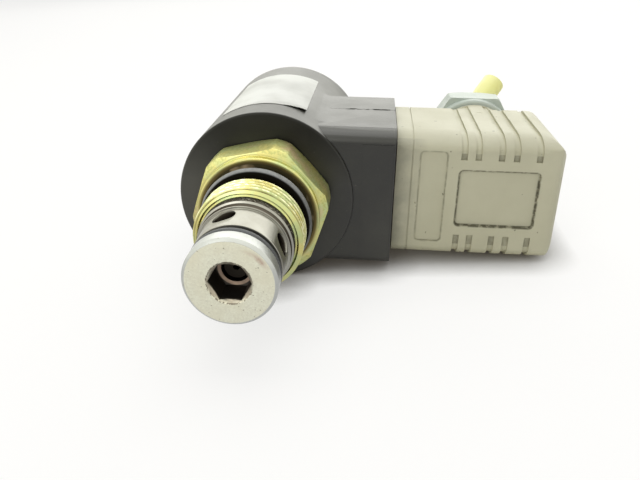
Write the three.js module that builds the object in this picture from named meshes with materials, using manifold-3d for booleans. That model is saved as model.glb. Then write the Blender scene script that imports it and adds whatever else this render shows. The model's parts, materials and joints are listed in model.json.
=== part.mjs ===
// Solenoid-operated screw-in cartridge valve with its coil and its square cable plug.
// Lengths are millimetres. In the valve's own frame Y is the axis of the cartridge, with the nose
// towards -Y and the plane of the coil's front face at Y = 0. X runs from the axis to the plug and
// Z is square to both. At the end the whole valve is rolled until it lies on its coil and on the
// lower far edge of its plug, as it does on a table.
import * as THREE from "three";
import { mergeVertices } from "three/addons/utils/BufferGeometryUtils.js";
import Module from "manifold-3d";

const wasm = await Module();
wasm.setup();

// Fits shared by all the pieces
const fit = {
  seat: 0.3, // between faces that bear on each other
  slide: 0.25, // around a piece that slides or turns in its bore
  touch: 0.1, // under a seal that sits in its groove
  overrun: 1, // what a cutting solid runs past the face that it cuts
};

// Numbers of flats that stand for a full circle, and of steps along a wound or bent piece
const sides = { coil: 64, large: 40, inner: 32, small: 20, tiny: 12, seal: 8, core: 6, wire: 5 };
const steps = { curl: 8, cable: 24, core: 8, label: 13, arc: 4 };

// Cartridge: lengths are stacked forward from the coil's front face
const hexagon = { acrossFlats: 25.4, length: 8.1, cornerRadius: 13.9, chamfer: 1.1, turn: 12 };
const washerFace = { radius: 12.2, length: 1.55, edge: 0.3, reliefRadius: 11.1, relief: 0.15 };
const undercut = { radius: 8.3, length: 5.1 };
const thread = { radius: 10.32, pitch: 1.27, depth: 0.78, turns: 4, lead: 1.1, chamfer: 0.9 };
const collar = { radius: 8.85, length: 3.4, edge: 0.2 };
const sleeve = { radius: 8, length: 6.7 };
const sealGroove = { width: 2.4, depth: 1.75 };
const noseLand = { length: 3, chamfer: 0.5 };
const socket = { acrossFlats: 6.35, depth: 5.2, mouthRadius: 4, mouthDepth: 0.55, turn: 0 };
const orifice = { radius: 2.5, length: 1.3 };
const sidePorts = { count: 4, radius: 2.15, turn: 20, shift: 0.4 }; // shift: towards the collar
const bodyWall = 1.5;
const spigotWall = 0.8;
const web = { length: 1.5, boreRadius: 3 };

// Seal rings
const noseSeal = { wire: 0.82 };
const bodySeal = { wire: 1.28, place: 2.3 }; // place: in front of the seat face
const coilSeal = { wire: 0.85 };

// Moving pieces in the cartridge
const poppet = { length: 17.6, pocketRadius: 4.6, pocketDepth: 7, noseRadius: 2.1, pilotRadius: 0.6 };
const poppetSpring = { radius: 3.8, wire: 0.4, curls: 5 };
const armature = { length: 29, pocketRadius: 2.8, pocketDepth: 7, groove: 0.5 };
const armatureSpring = { radius: 2.15, wire: 0.35, curls: 8 };
const pilotPin = { radius: 1.2, grip: 5, tip: 0.5 };
const workingGap = 2.5;

// Tube that guides the armature, and the pole piece that closes it
const tube = { radius: 6.5, wall: 0.8 };
const pole = { pocketDepth: 2.6, shoulder: 0.6 };
const stud = { radius: 3.9, length: 10.5, chamfer: 0.7, slotWidth: 1.4, slotDepth: 1.6 };
const coilNut = { acrossFlats: 17, height: 6.5, flangeRadius: 10.6, flangeHeight: 1.8, chamfer: 0.9 };

// Coil: its layers are stacked outwards from the tube
const winding = { depth: 5.2 };
const coil = { length: 50, edge: 0.7, wall: 2.1, endWall: 2.2, mouthRadius: 8.9 };
const yoke = { wall: 1.5, endThickness: 2.6 };
const bobbin = { wall: 0.9, flange: 1.1, flangeInset: 0.7 };
const tower = {
  reach: 26.8, // from the axis to the face that the plug sits on
  inset: 3.3, // from the top of the coil down to the top of the tower
  front: 0.7, // behind the coil's front face
  frontMargin: 2.8, // from its front to the plug's front
  shoulderRun: 3.3,
  shoulderDrop: 2.3,
};
const blade = { width: 6.3, thickness: 0.8, rooted: 5, reach: 8.4, spacing: 18 };
const towerNut = { radius: 2.5, length: 6.5 };
const label = { front: 7.8, back: 40, thickness: 0.2, lift: 0.12, fromTurn: -55, toTurn: 23 };

// Plug
// The plug's width and depth are the spacing of its blades and the room outside them
const plug = { widthRoom: 4.75, depthRoom: 4.65, height: 35.3, edge: 3, wall: 1.9, backInset: 0.1 };
const crown = { run: 6.3 }; // how far back the front's upper and lower edges start to round
const skirt = { length: 3.5, groove: 0.25, grooveWidth: 0.35 };
const namePanel = { start: 4.9, width: 5.7, length: 20.3, depth: 0.35, corner: 0.9 };
const squarePanel = { start: 13.2, width: 16.7, length: 12.6, depth: 0.7, corner: 1 };
const panelShift = 0.5; // the recesses sit this far above the middle of the plug
const grip = { width: 1.3, depth: 0.55, topStart: 9, bottomStart: 7.9 };
const gripPlaces = [13.9, 16.8, 21.5, 24.55, 29.15]; // from the plug's foot to each groove
const chamber = { start: 15, length: 11.5, halfWidth: 9.5 };
const gasket = { thickness: 1.9, inset: 0.4 };
const block = { length: 8.4 };
const contact = { wallWide: 0.35, wallThin: 0.5, length: 6.7, start: 0.8 };
const clampScrew = { radius: 1.4, headRadius: 2.1, headLength: 1.1, length: 2 };
const plugScrew = { radius: 1.5, headRadius: 2.9, headLength: 2.2, sink: 1, slotWidth: 0.8, slotDepth: 1.1 };
const screwSeal = { thickness: 0.8, radius: 3.1 };

// Cable gland on the back of the plug
const gland = { along: 19.4, rise: 4.6, collarRadius: 9.2, collarLength: 1.8 };
const glandBore = { radius: 7.4, shoulder: 0.9 };
const glandNut = { acrossFlats: 20.6, length: 9.6, spigot: 2.2, chamfer: 1.4, rearRadius: 8.9 };
const glandFlange = { radius: 10.2, length: 1.9 };
const glandWasher = { thickness: 0.6 };
const glandSeal = { length: 2 };
const cable = { radius: 2.9, coreRadius: 0.95, inset: 4.8 };

// Stations along the axis, worked out from the lengths above
const hexBack = -fit.seat;
const washerBack = hexBack - hexagon.length;
const seatFace = washerBack - washerFace.length;
const threadBack = seatFace - undercut.length;
const threadTurns = Math.round(thread.turns);
const threadLength = thread.pitch * threadTurns + thread.lead;
const bodyFront = threadBack - threadLength;
const sleeveBack = bodyFront - collar.length;
const grooveBack = sleeveBack - sleeve.length;
const grooveFront = grooveBack - sealGroove.width;
const grooveMiddle = (grooveFront + grooveBack - fit.seat) / 2;
const noseEnd = grooveFront - noseLand.length;
const socketFloor = noseEnd + socket.depth;
const chamberFront = socketFloor + orifice.length;
const spigotBoreRadius = undercut.radius - bodyWall;
const spigotRadius = spigotBoreRadius - fit.seat;
const chamberRadius = spigotRadius - spigotWall;
const webFront = seatFace + fit.seat;
const webBack = webFront + web.length;
const spigotBack = webFront - fit.seat;
const tubeFront = webBack + fit.seat;
const tubeBack = coil.length + fit.seat;
const tubeBore = tube.radius - tube.wall;
const armatureFront = tubeFront + fit.seat;
const armatureBack = armatureFront + armature.length;
const poleFront = armatureBack + workingGap;
const slideway = tubeBore - fit.slide;

// Radii of the coil's layers, from the tube outwards
const bobbinBore = tube.radius + fit.seat;
const bobbinCore = bobbinBore + bobbin.wall;
const windingBore = bobbinCore + fit.seat;
const windingRadius = windingBore + winding.depth;
const bobbinFlange = windingRadius + bobbin.flangeInset;
const yokeInner = bobbinFlange + bobbin.flangeInset;
const yokeOuter = yokeInner + yoke.wall;
const shellRadius = yokeOuter + fit.seat;
const coilRadius = shellRadius + coil.wall;

// Stations of the connector, along X from the axis, and its middle along Y
const plugFoot = tower.reach + fit.seat;
const plugEnd = plugFoot + plug.height - fit.seat;
const plugFront = tower.front + tower.frontMargin;
const plugBack = plugFront + blade.spacing + 2 * plug.depthRoom;
const towerBack = plugBack + plug.backInset;
const plugMiddle = (plugFront + plugBack) / 2;
const halfPlug = blade.spacing / 2 + plug.widthRoom;
const cavityHalf = halfPlug - plug.wall;
const gasketBack = plugFoot + gasket.thickness;
const blockFront = gasketBack + fit.seat;
const blockBack = blockFront + block.length;
const glandX = plugFoot + gland.along;
const collarEnd = plugBack + gland.collarLength;
const glandNutFront = collarEnd + fit.seat;
const glandNutBack = glandNutFront + glandNut.length;

// Materials
function finish(name, color, roughness, metalness) {
  return new THREE.MeshStandardMaterial({ name, color, roughness, metalness });
}
const zinc = finish("yellow zinc plate", 0xcfc67e, 0.35, 0.9);
const steel = finish("turned steel", 0xb9b7ae, 0.35, 1);
const plainSteel = finish("soft iron", 0x8d8c88, 0.5, 1);
const rubber = finish("black rubber", 0x1c1c1b, 0.65, 0);
const charcoal = finish("charcoal moulding", 0x3b3a37, 0.6, 0);
const greyPlastic = finish("grey moulding", 0xbdbaa2, 0.55, 0);
const paleNut = finish("pale gland plastic", 0xd3dcd5, 0.5, 0);
const blackPlastic = finish("black insert moulding", 0x262624, 0.6, 0);
const copper = finish("copper wire", 0xb06a38, 0.4, 1);
const brass = finish("brass", 0xc7a75c, 0.35, 1);
const tinned = finish("tinned contact", 0xc9c8c2, 0.3, 1);
const paper = finish("paper", 0xf1f1ec, 0.8, 0);
const yellowJacket = finish("yellow cable jacket", 0xece67f, 0.55, 0);
const brownCore = finish("brown insulation", 0x6b4427, 0.5, 0);
const blueCore = finish("blue insulation", 0x2f5fa8, 0.5, 0);
const greenCore = finish("green insulation", 0x5a9a3c, 0.5, 0);

// Solids: three.js geometry in and out of exact booleans
function solidOf(geometry) {
  const bare = geometry.clone();
  for (const name of ["normal", "uv"]) bare.deleteAttribute(name);
  const merged = mergeVertices(bare);
  const mesh = new wasm.Mesh({
    numProp: 3,
    vertProperties: merged.getAttribute("position").array,
    triVerts: new Uint32Array(merged.index.array),
  });
  return new wasm.Manifold(mesh);
}

function geometryOf(solid) {
  const mesh = solid.getMesh();
  const geometry = new THREE.BufferGeometry();
  geometry.setAttribute("position", new THREE.BufferAttribute(new Float32Array(mesh.vertProperties), 3));
  geometry.setIndex(new THREE.BufferAttribute(new Uint32Array(mesh.triVerts), 1));
  geometry.computeVertexNormals();
  return geometry;
}

function cut(body, ...tools) {
  return tools.reduce((left, tool) => left.subtract(tool), body);
}

function join(...bodies) {
  return bodies.reduce((all, body) => all.add(body));
}

// A profile of [radius, station] pairs turned about the Y axis
function turned(pairs, flats) {
  const profile = pairs.map(([radius, station]) => new THREE.Vector2(radius, station));
  const onAxis = profile[0].x === 0 && profile.at(-1).x === 0;
  const loop = onAxis ? profile : [...profile, profile[0].clone()];
  if (THREE.ShapeUtils.area(profile) < 0) loop.reverse();
  return solidOf(new THREE.LatheGeometry(loop, flats));
}

function rod(radius, from, to, flats) {
  return turned([[0, from], [radius, from], [radius, to], [0, to]], flats);
}

function sleeveSolid(outer, inner, from, to, flats) {
  return turned([[inner, from], [outer, from], [outer, to], [inner, to]], flats);
}

// The same solids laid along X through the point (x is the station, y and z the place of the axis)
const yToX = new THREE.Matrix4().makeBasis(
  new THREE.Vector3(0, -1, 0),
  new THREE.Vector3(1, 0, 0),
  new THREE.Vector3(0, 0, 1),
);
function alongX(solid, y, z) {
  return solidOf(geometryOf(solid).applyMatrix4(yToX).translate(0, y, z));
}

function moved(solid, x, y, z) {
  return solid.translate([x, y, z]);
}

function box([x0, x1], [y0, y1], [z0, z1]) {
  const geometry = new THREE.BoxGeometry(x1 - x0, y1 - y0, z1 - z0);
  geometry.translate((x0 + x1) / 2, (y0 + y1) / 2, (z0 + z1) / 2);
  return solidOf(geometry);
}

function shapeOf(pairs) {
  return new THREE.Shape(pairs.map(([a, b]) => new THREE.Vector2(a, b)));
}

// A shape drawn in X and Z, extruded along Y
function extrudedY(shape, from, to) {
  const geometry = new THREE.ExtrudeGeometry(shape, { depth: to - from, bevelEnabled: false });
  return solidOf(geometry.rotateX(Math.PI / 2).translate(0, to, 0));
}

// A shape drawn in Y and Z, extruded along X
const intoX = new THREE.Matrix4().makeBasis(
  new THREE.Vector3(0, 1, 0),
  new THREE.Vector3(0, 0, 1),
  new THREE.Vector3(1, 0, 0),
);
function extrudedX(shape, from, to) {
  const geometry = new THREE.ExtrudeGeometry(shape, { depth: to - from, bevelEnabled: false });
  return solidOf(geometry.applyMatrix4(intoX).translate(from, 0, 0));
}

// A quarter of a circle or of an ellipse, as a few chords
function quarterArc(a, b, reachA, reachB, quarter) {
  const arc = [];
  for (let i = 0; i <= steps.arc; i++) {
    const angle = ((quarter - 1 + i / steps.arc) * Math.PI) / 2;
    arc.push([a + reachA * Math.cos(angle), b + reachB * Math.sin(angle)]);
  }
  return arc;
}

// A rectangle with round corners, which reach further along A at its low end when that is asked for
function roundedRectangle(a0, a1, b0, b1, corner, lowReach = corner) {
  const corners = [
    [a1 - corner, b0 + corner, corner],
    [a1 - corner, b1 - corner, corner],
    [a0 + lowReach, b1 - corner, lowReach],
    [a0 + lowReach, b0 + corner, lowReach],
  ];
  return shapeOf(corners.flatMap(([a, b, reach], quarter) => quarterArc(a, b, reach, corner, quarter)));
}

// A shape drawn in X and Y, extruded along Z
function extrudedZ(shape, from, to) {
  const geometry = new THREE.ExtrudeGeometry(shape, { depth: to - from, bevelEnabled: false });
  return solidOf(geometry.translate(0, 0, from));
}

// A block whose every edge is rounded, with longer rounding along the two edges in front
function moulded([x0, x1], [y0, y1], [z0, z1], edge, frontReach) {
  return extrudedY(roundedRectangle(x0, x1, z0, z1, edge), y0, y1)
    .intersect(extrudedX(roundedRectangle(y0, y1, z0, z1, edge, frontReach), x0, x1))
    .intersect(extrudedZ(roundedRectangle(x0, x1, y0, y1, edge), z0, z1));
}

function hexagonY(acrossFlats, turn, from, to) {
  const corner = acrossFlats / 2 / Math.cos(Math.PI / 6);
  const pairs = [];
  for (let i = 0; i < 6; i++) {
    const angle = THREE.MathUtils.degToRad(turn) + (i * Math.PI) / 3;
    pairs.push([corner * Math.cos(angle), corner * Math.sin(angle)]);
  }
  return extrudedY(shapeOf(pairs), from, to);
}

// A seal ring whose wire lies on the radius of its groove's floor
function ringSeal(floor, wire, station, flats) {
  const geometry = new THREE.TorusGeometry(floor + fit.touch + wire, wire, sides.seal, flats);
  return solidOf(geometry.rotateX(Math.PI / 2).translate(0, station, 0));
}

// One unbroken wire that winds about the Y axis
function wound({ radius, wire, curls }, from, to) {
  const count = Math.round(curls * steps.curl);
  const low = from + wire;
  const climb = to - from - 2 * wire;
  const positions = [];
  for (let i = 0; i <= count; i++) {
    const turn = (i / steps.curl) * 2 * Math.PI;
    for (let k = 0; k < sides.wire; k++) {
      const angle = (k / sides.wire) * 2 * Math.PI;
      const reach = radius + wire * Math.cos(angle);
      const station = low + (climb * i) / count + wire * Math.sin(angle);
      positions.push(reach * Math.cos(turn), station, reach * Math.sin(turn));
    }
  }
  const index = [];
  for (let i = 0; i < count; i++) {
    for (let k = 0; k < sides.wire; k++) {
      const [a, b] = [i * sides.wire + k, i * sides.wire + ((k + 1) % sides.wire)];
      index.push(a, b, a + sides.wire, b, b + sides.wire, a + sides.wire);
    }
  }
  const last = count * sides.wire;
  for (let k = 1; k < sides.wire - 1; k++) {
    index.push(0, k + 1, k);
    index.push(last, last + k, last + k + 1);
  }
  const geometry = new THREE.BufferGeometry();
  geometry.setAttribute("position", new THREE.Float32BufferAttribute(positions, 3));
  geometry.setIndex(index);
  console.log("least gap between curls " + (climb / curls - 2 * wire).toFixed(2) + " mm");
  return solidOf(geometry);
}

// A round cord along a list of places
function cord(places, radius, flats, count) {
  const path = new THREE.CatmullRomCurve3(places.map((place) => new THREE.Vector3(...place)));
  const section = new THREE.Shape();
  for (let i = 0; i < flats; i++) {
    const angle = (i / flats) * 2 * Math.PI;
    const [a, b] = [radius * Math.cos(angle), radius * Math.sin(angle)];
    if (i === 0) section.moveTo(a, b);
    else section.lineTo(a, b);
  }
  return solidOf(new THREE.ExtrudeGeometry(section, { steps: count, extrudePath: path }));
}

// Valve body: washer face, hexagon and thread turned from one bar
function valveBody() {
  const cornerRadius = hexagon.cornerRadius;
  const pairs = [
    [spigotBoreRadius, bodyFront],
    [thread.radius - thread.chamfer, bodyFront],
    [thread.radius - thread.depth / 3, bodyFront + thread.lead / 2],
  ];
  for (let i = 0; i < threadTurns; i++) {
    const root = bodyFront + thread.lead + i * thread.pitch;
    pairs.push([thread.radius, root - thread.pitch / 6]);
    pairs.push([thread.radius - thread.depth, root + thread.pitch / 3]);
  }
  pairs.push(
    [thread.radius, threadBack - thread.pitch / 2],
    [thread.radius - thread.depth / 4, threadBack - thread.pitch / 6],
    [undercut.radius, threadBack],
    [undercut.radius, seatFace + washerFace.relief],
    [washerFace.reliefRadius, seatFace + washerFace.relief],
    [washerFace.reliefRadius, seatFace],
    [washerFace.radius - washerFace.edge, seatFace],
    [washerFace.radius, seatFace + washerFace.edge],
    [washerFace.radius, washerBack],
    [cornerRadius, washerBack + hexagon.chamfer],
    [cornerRadius, hexBack - hexagon.chamfer / 2],
    [cornerRadius - hexagon.chamfer, hexBack],
    [tube.radius + fit.seat, hexBack],
    [tube.radius + fit.seat, webBack],
    [web.boreRadius, webBack],
    [web.boreRadius, webFront],
    [spigotBoreRadius, webFront],
  );
  const bar = hexagonY(hexagon.acrossFlats, hexagon.turn, bodyFront - fit.overrun, fit.overrun);
  return turned(pairs, sides.large).intersect(bar);
}

// Cage: the ported sleeve, held by its thinner end inside the body
function cage() {
  const turnedCage = turned(
    [
      [chamberRadius, grooveBack],
      [sleeve.radius, grooveBack],
      [sleeve.radius, sleeveBack],
      [collar.radius - collar.edge, sleeveBack],
      [collar.radius, sleeveBack + collar.edge],
      [collar.radius, bodyFront - fit.seat],
      [spigotRadius, bodyFront - fit.seat],
      [spigotRadius, spigotBack],
      [chamberRadius, spigotBack],
    ],
    sides.large,
  );
  const middle = (sleeveBack + chamberFront) / 2 + sidePorts.shift;
  const ports = [];
  for (let i = 0; i < sidePorts.count; i++) {
    const drill = rod(sidePorts.radius, orifice.radius, collar.radius + fit.overrun, sides.small);
    const turn = sidePorts.turn + (i * 360) / sidePorts.count;
    ports.push(alongX(drill, 0, 0).rotate([0, -turn, 0]).translate([0, middle, 0]));
  }
  return cut(turnedCage, ...ports);
}

// Nose insert: the seat for the poppet, the seal's groove and the hexagon socket for its key
function noseInsert() {
  const neck = sleeve.radius - sealGroove.depth;
  const spigot = chamberRadius - fit.seat;
  const turnedInsert = turned(
    [
      [orifice.radius, chamberFront],
      [orifice.radius, noseEnd],
      [sleeve.radius - noseLand.chamfer, noseEnd],
      [sleeve.radius, noseEnd + noseLand.chamfer],
      [sleeve.radius, grooveFront],
      [neck, grooveFront],
      [neck, grooveBack - fit.seat],
      [spigot, grooveBack - fit.seat],
      [spigot, chamberFront],
    ],
    sides.large,
  );
  const mouth = turned(
    [
      [0, noseEnd - fit.overrun],
      [socket.mouthRadius + fit.overrun, noseEnd - fit.overrun],
      [socket.mouthRadius, noseEnd],
      [socket.acrossFlats / 2, noseEnd + socket.mouthDepth],
      [0, noseEnd + socket.mouthDepth],
    ],
    sides.inner,
  );
  const key = hexagonY(socket.acrossFlats, socket.turn, noseEnd - fit.overrun, socketFloor);
  return cut(turnedInsert, mouth, key);
}

// Poppet: a hollow piston whose cone closes the orifice
function poppetSolid() {
  const radius = chamberRadius - fit.slide;
  const tip = chamberFront - orifice.length / 2;
  const shoulder = chamberFront + fit.seat + radius - orifice.radius;
  const back = tip + poppet.length;
  return turned(
    [
      [poppet.pilotRadius, tip],
      [poppet.noseRadius, tip],
      [orifice.radius - fit.seat, chamberFront - fit.seat / 2],
      [radius, shoulder],
      [radius, back],
      [poppet.pocketRadius, back],
      [poppet.pocketRadius, back - poppet.pocketDepth],
      [poppet.pilotRadius, back - poppet.pocketDepth],
    ],
    sides.inner,
  );
}
const poppetTip = chamberFront - orifice.length / 2;
const poppetBack = poppetTip + poppet.length;
const pocketFloor = poppetBack - poppet.pocketDepth;

// Armature: a grooved piston of soft iron, with a pocket for its spring and a bore for its pin
function armatureSolid() {
  const body = turned(
    [
      [pilotPin.radius + fit.slide, armatureFront],
      [slideway, armatureFront],
      [slideway, armatureBack],
      [armature.pocketRadius, armatureBack],
      [armature.pocketRadius, armatureBack - armature.pocketDepth],
      [0, armatureBack - armature.pocketDepth],
      [0, armatureFront + pilotPin.grip],
      [pilotPin.radius + fit.slide, armatureFront + pilotPin.grip],
    ],
    sides.inner,
  );
  const lane = box(
    [slideway - armature.groove, slideway + fit.overrun],
    [armatureFront - fit.overrun, armatureBack + fit.overrun],
    [-armature.groove, armature.groove],
  );
  return cut(body, lane, lane.rotate([0, 180, 0]));
}

function pilotPinSolid() {
  const back = armatureFront + pilotPin.grip - fit.seat;
  const tip = pocketFloor + fit.seat;
  return turned(
    [
      [0, tip],
      [pilotPin.tip, tip],
      [pilotPin.radius, tip + pilotPin.radius],
      [pilotPin.radius, back],
      [0, back],
    ],
    sides.tiny,
  );
}

function poleSolid() {
  const end = tubeBack + stud.length;
  const body = turned(
    [
      [0, poleFront + pole.pocketDepth],
      [armature.pocketRadius, poleFront + pole.pocketDepth],
      [armature.pocketRadius, poleFront],
      [slideway, poleFront],
      [slideway, tubeBack - pole.shoulder],
      [stud.radius, tubeBack - pole.shoulder],
      [stud.radius, end - stud.chamfer],
      [stud.radius - stud.chamfer, end],
      [0, end],
    ],
    sides.inner,
  );
  const slot = box(
    [-stud.radius - fit.overrun, stud.radius + fit.overrun],
    [end - stud.slotDepth, end + fit.overrun],
    [-stud.slotWidth / 2, stud.slotWidth / 2],
  );
  return cut(body, slot);
}

function coilNutSolid() {
  const front = coil.length + fit.seat;
  const end = front + coilNut.height;
  const corner = coilNut.acrossFlats / 2 / Math.cos(Math.PI / 6);
  const hole = stud.radius + fit.slide;
  const mouth = tube.radius + fit.seat;
  const flange = sleeveSolid(coilNut.flangeRadius, mouth, front, front + coilNut.flangeHeight, sides.inner);
  const crown = turned(
    [
      [mouth, front + fit.seat],
      [corner, front + fit.seat],
      [corner, end - coilNut.chamfer / 2],
      [corner - coilNut.chamfer, end],
      [hole, end],
      [hole, front + coilNut.flangeHeight],
      [mouth, front + coilNut.flangeHeight],
    ],
    sides.inner,
  );
  const bar = hexagonY(coilNut.acrossFlats, hexagon.turn, front, end + fit.overrun);
  return join(flange, crown.intersect(bar));
}

// Coil housing: a moulded shell round the winding, with the square tower for the plug
function coilHousing() {
  const shell = turned(
    [
      [coil.mouthRadius, 0],
      [coilRadius - coil.edge, 0],
      [coilRadius, coil.edge],
      [coilRadius, coil.length - coil.edge],
      [coilRadius - coil.edge, coil.length],
      [coil.mouthRadius, coil.length],
      [coil.mouthRadius, coil.length - coil.endWall],
      [shellRadius, coil.length - coil.endWall],
      [shellRadius, coil.endWall],
      [coil.mouthRadius, coil.endWall],
    ],
    sides.coil,
  );
  const half = coilRadius - tower.inset;
  const run = tower.shoulderRun;
  const drop = tower.shoulderDrop;
  const outline = [
    [tower.front + run, half],
    [tower.front + run / 2, half - drop / 4],
    [tower.front + run / 7, half - drop / 2],
    [tower.front, half - drop],
  ];
  const lower = outline.map(([y, z]) => [y, -z]).reverse();
  const back = [[towerBack, -half], [towerBack, half]];
  const block = extrudedX(shapeOf([...outline, ...lower, ...back]), 0, tower.reach);
  const core = rod(shellRadius + coil.wall / 2, 0, coil.length, sides.coil);
  const screwHole = alongX(
    rod(
      towerNut.radius + fit.seat,
      tower.reach - towerNut.length - fit.seat,
      tower.reach + fit.overrun,
      sides.small,
    ),
    plugMiddle,
    0,
  );
  const slots = bladePlaces.map(({ y, z, flat }) => bladeBox(y, z, flat, fit.seat, fit.overrun));
  return cut(join(shell, cut(block, core)), screwHole, ...slots);
}

// Where the three contact blades stand, and whether a blade's width runs along Y or Z
const bladePlaces = [
  { name: "1", y: plugMiddle - blade.spacing / 2, z: 0, flat: "z" },
  { name: "2", y: plugMiddle + blade.spacing / 2, z: 0, flat: "z" },
  { name: "earth", y: plugMiddle, z: -blade.spacing / 2, flat: "y" },
];
const bladeRoot = tower.reach - blade.rooted;
const bladeTip = tower.reach + blade.reach;
function acrossBlade(y, z, flat, wide, thin) {
  const [dy, dz] = flat === "y" ? [wide, thin] : [thin, wide];
  return [[y - dy, y + dy], [z - dz, z + dz]];
}
function bladeBox(y, z, flat, room, past) {
  const [along, up] = acrossBlade(y, z, flat, blade.width / 2 + room, blade.thickness / 2 + room);
  return box([bladeRoot - room, bladeTip + past], along, up);
}

function typeLabel() {
  const inner = coilRadius + label.lift;
  const outer = inner + label.thickness;
  const arc = (radius) => {
    const pairs = [];
    for (let i = 0; i <= steps.label; i++) {
      const turn = label.fromTurn + ((label.toTurn - label.fromTurn) * i) / steps.label;
      const angle = THREE.MathUtils.degToRad(turn);
      pairs.push([radius * Math.sin(angle), radius * Math.cos(angle)]);
    }
    return pairs;
  };
  return extrudedY(shapeOf([...arc(outer), ...arc(inner).reverse()]), label.front, label.back);
}

// Winding space between the two flux washers
const washerFrontFace = coil.endWall + fit.seat;
const washerRearFace = coil.length - coil.endWall - fit.seat;
const bobbinFront = washerFrontFace + yoke.endThickness + fit.seat;
const bobbinBack = washerRearFace - yoke.endThickness - fit.seat;

function bobbinSolid() {
  return turned(
    [
      [bobbinBore, bobbinFront],
      [bobbinFlange, bobbinFront],
      [bobbinFlange, bobbinFront + bobbin.flange],
      [bobbinCore, bobbinFront + bobbin.flange],
      [bobbinCore, bobbinBack - bobbin.flange],
      [bobbinFlange, bobbinBack - bobbin.flange],
      [bobbinFlange, bobbinBack],
      [bobbinBore, bobbinBack],
    ],
    sides.inner,
  );
}

// Plug housing: a square moulding with grip grooves, two sunk panels and the gland's collar
function plugHousing() {
  const body = cut(
    moulded(
      [plugFoot - 2 * plug.edge, plugEnd],
      [plugFront, plugBack],
      [-halfPlug, halfPlug],
      plug.edge,
      crown.run,
    ),
    box(
      [plugFoot - 3 * plug.edge, plugFoot],
      [plugFront - fit.overrun, plugBack + fit.overrun],
      [-2 * halfPlug, 2 * halfPlug],
    ),
  );
  const neck = rod(gland.collarRadius, plugBack - plug.edge, collarEnd, sides.inner);
  const cavity = box(
    [plugFoot - fit.overrun, clampEnd + fit.seat],
    [plugFront + plug.wall, plugBack - plug.wall],
    [-cavityHalf, cavityHalf],
  );
  const tunnelFront = glandBoreFloor - glandBore.shoulder;
  const wiring = box(
    [blockBack, plugFoot + chamber.start + chamber.length],
    [plugFront + plug.wall, tunnelFront],
    [-chamber.halfWidth, chamber.halfWidth],
  );
  const boreTools = join(
    rod(glandBore.radius, glandBoreFloor, collarEnd + fit.overrun, sides.inner),
    rod(cable.radius + fit.seat, tunnelFront - fit.overrun, glandBoreFloor + fit.overrun, sides.small),
  );
  const headRoom = plugScrew.headLength + plugScrew.sink + screwSeal.thickness + 2 * fit.seat;
  const screwWay = alongX(
    join(
      rod(plugScrew.radius + fit.seat, plugFoot, plugEnd, sides.small),
      rod(screwSeal.radius + fit.seat, plugEnd - headRoom, plugEnd + fit.overrun, sides.small),
    ),
    plugMiddle,
    0,
  );
  const shell = cut(
    join(body, moved(neck, glandX, 0, gland.rise)),
    cavity,
    wiring,
    moved(boreTools, glandX, 0, gland.rise),
    screwWay,
  );
  return cut(shell, ...panels(), ...gripGrooves(), skirtGroove());
}
const glandBoreFloor = collarEnd - glandNut.spigot - glandWasher.thickness - glandSeal.length - 3 * fit.seat;

function panels() {
  return [namePanel, squarePanel].map(({ start, width, length, depth, corner }) =>
    extrudedY(
      roundedRectangle(
        plugFoot + start,
        plugFoot + start + width,
        panelShift - length / 2,
        panelShift + length / 2,
        corner,
      ),
      plugFront - fit.overrun,
      plugFront + depth,
    ),
  );
}

// Each grip groove runs up the front, over the rounded edge and across the top or the bottom
function gripGrooves() {
  const grooves = [];
  const roundness = quarterArc(
    plugFront + crown.run,
    halfPlug - plug.edge,
    crown.run - grip.depth,
    plug.edge - grip.depth,
    2,
  ).reverse();
  for (const place of gripPlaces) {
    for (const [way, start] of [[1, grip.topStart], [-1, -grip.bottomStart]]) {
      const [from, to] = [plugFoot + place - grip.width / 2, plugFoot + place + grip.width / 2];
      const top = way * (halfPlug + fit.overrun);
      const floor = way * (halfPlug - grip.depth);
      const front = plugFront - fit.overrun;
      const sunk = plugFront + grip.depth;
      const bend = roundness.map(([y, z]) => [y, way * z]);
      const pairs = [[front, start], [sunk, start], ...bend, [plugBack + fit.overrun, floor]];
      pairs.push([plugBack + fit.overrun, top], [front, top]);
      if (way > 0) pairs.reverse();
      grooves.push(extrudedX(shapeOf(pairs), from, to));
    }
  }
  return grooves;
}

// A fine line round the plug, near its foot
function skirtGroove() {
  const from = plugFoot + skirt.length - fit.seat;
  const to = from + skirt.grooveWidth;
  const floor = roundedRectangle(
    plugFront + skirt.groove,
    plugBack - skirt.groove,
    skirt.groove - halfPlug,
    halfPlug - skirt.groove,
    plug.edge - skirt.groove,
    crown.run - skirt.groove,
  );
  const around = box(
    [from, to],
    [plugFront - fit.overrun, plugBack + fit.overrun],
    [-halfPlug - fit.overrun, halfPlug + fit.overrun],
  );
  return cut(around, extrudedX(floor, from - fit.overrun, to + fit.overrun));
}

function plugGasket() {
  const half = cavityHalf - gasket.inset;
  const sheet = box(
    [plugFoot, gasketBack],
    [plugFront + plug.wall + gasket.inset, plugBack - plug.wall - gasket.inset],
    [-half, half],
  );
  const hole = alongX(rod(plugScrew.radius + fit.seat, 0, plugEnd, sides.tiny), plugMiddle, 0);
  const slots = bladePlaces.map(({ y, z, flat }) => bladeBox(y, z, flat, fit.seat, fit.overrun));
  return cut(sheet, hole, ...slots);
}

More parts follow.
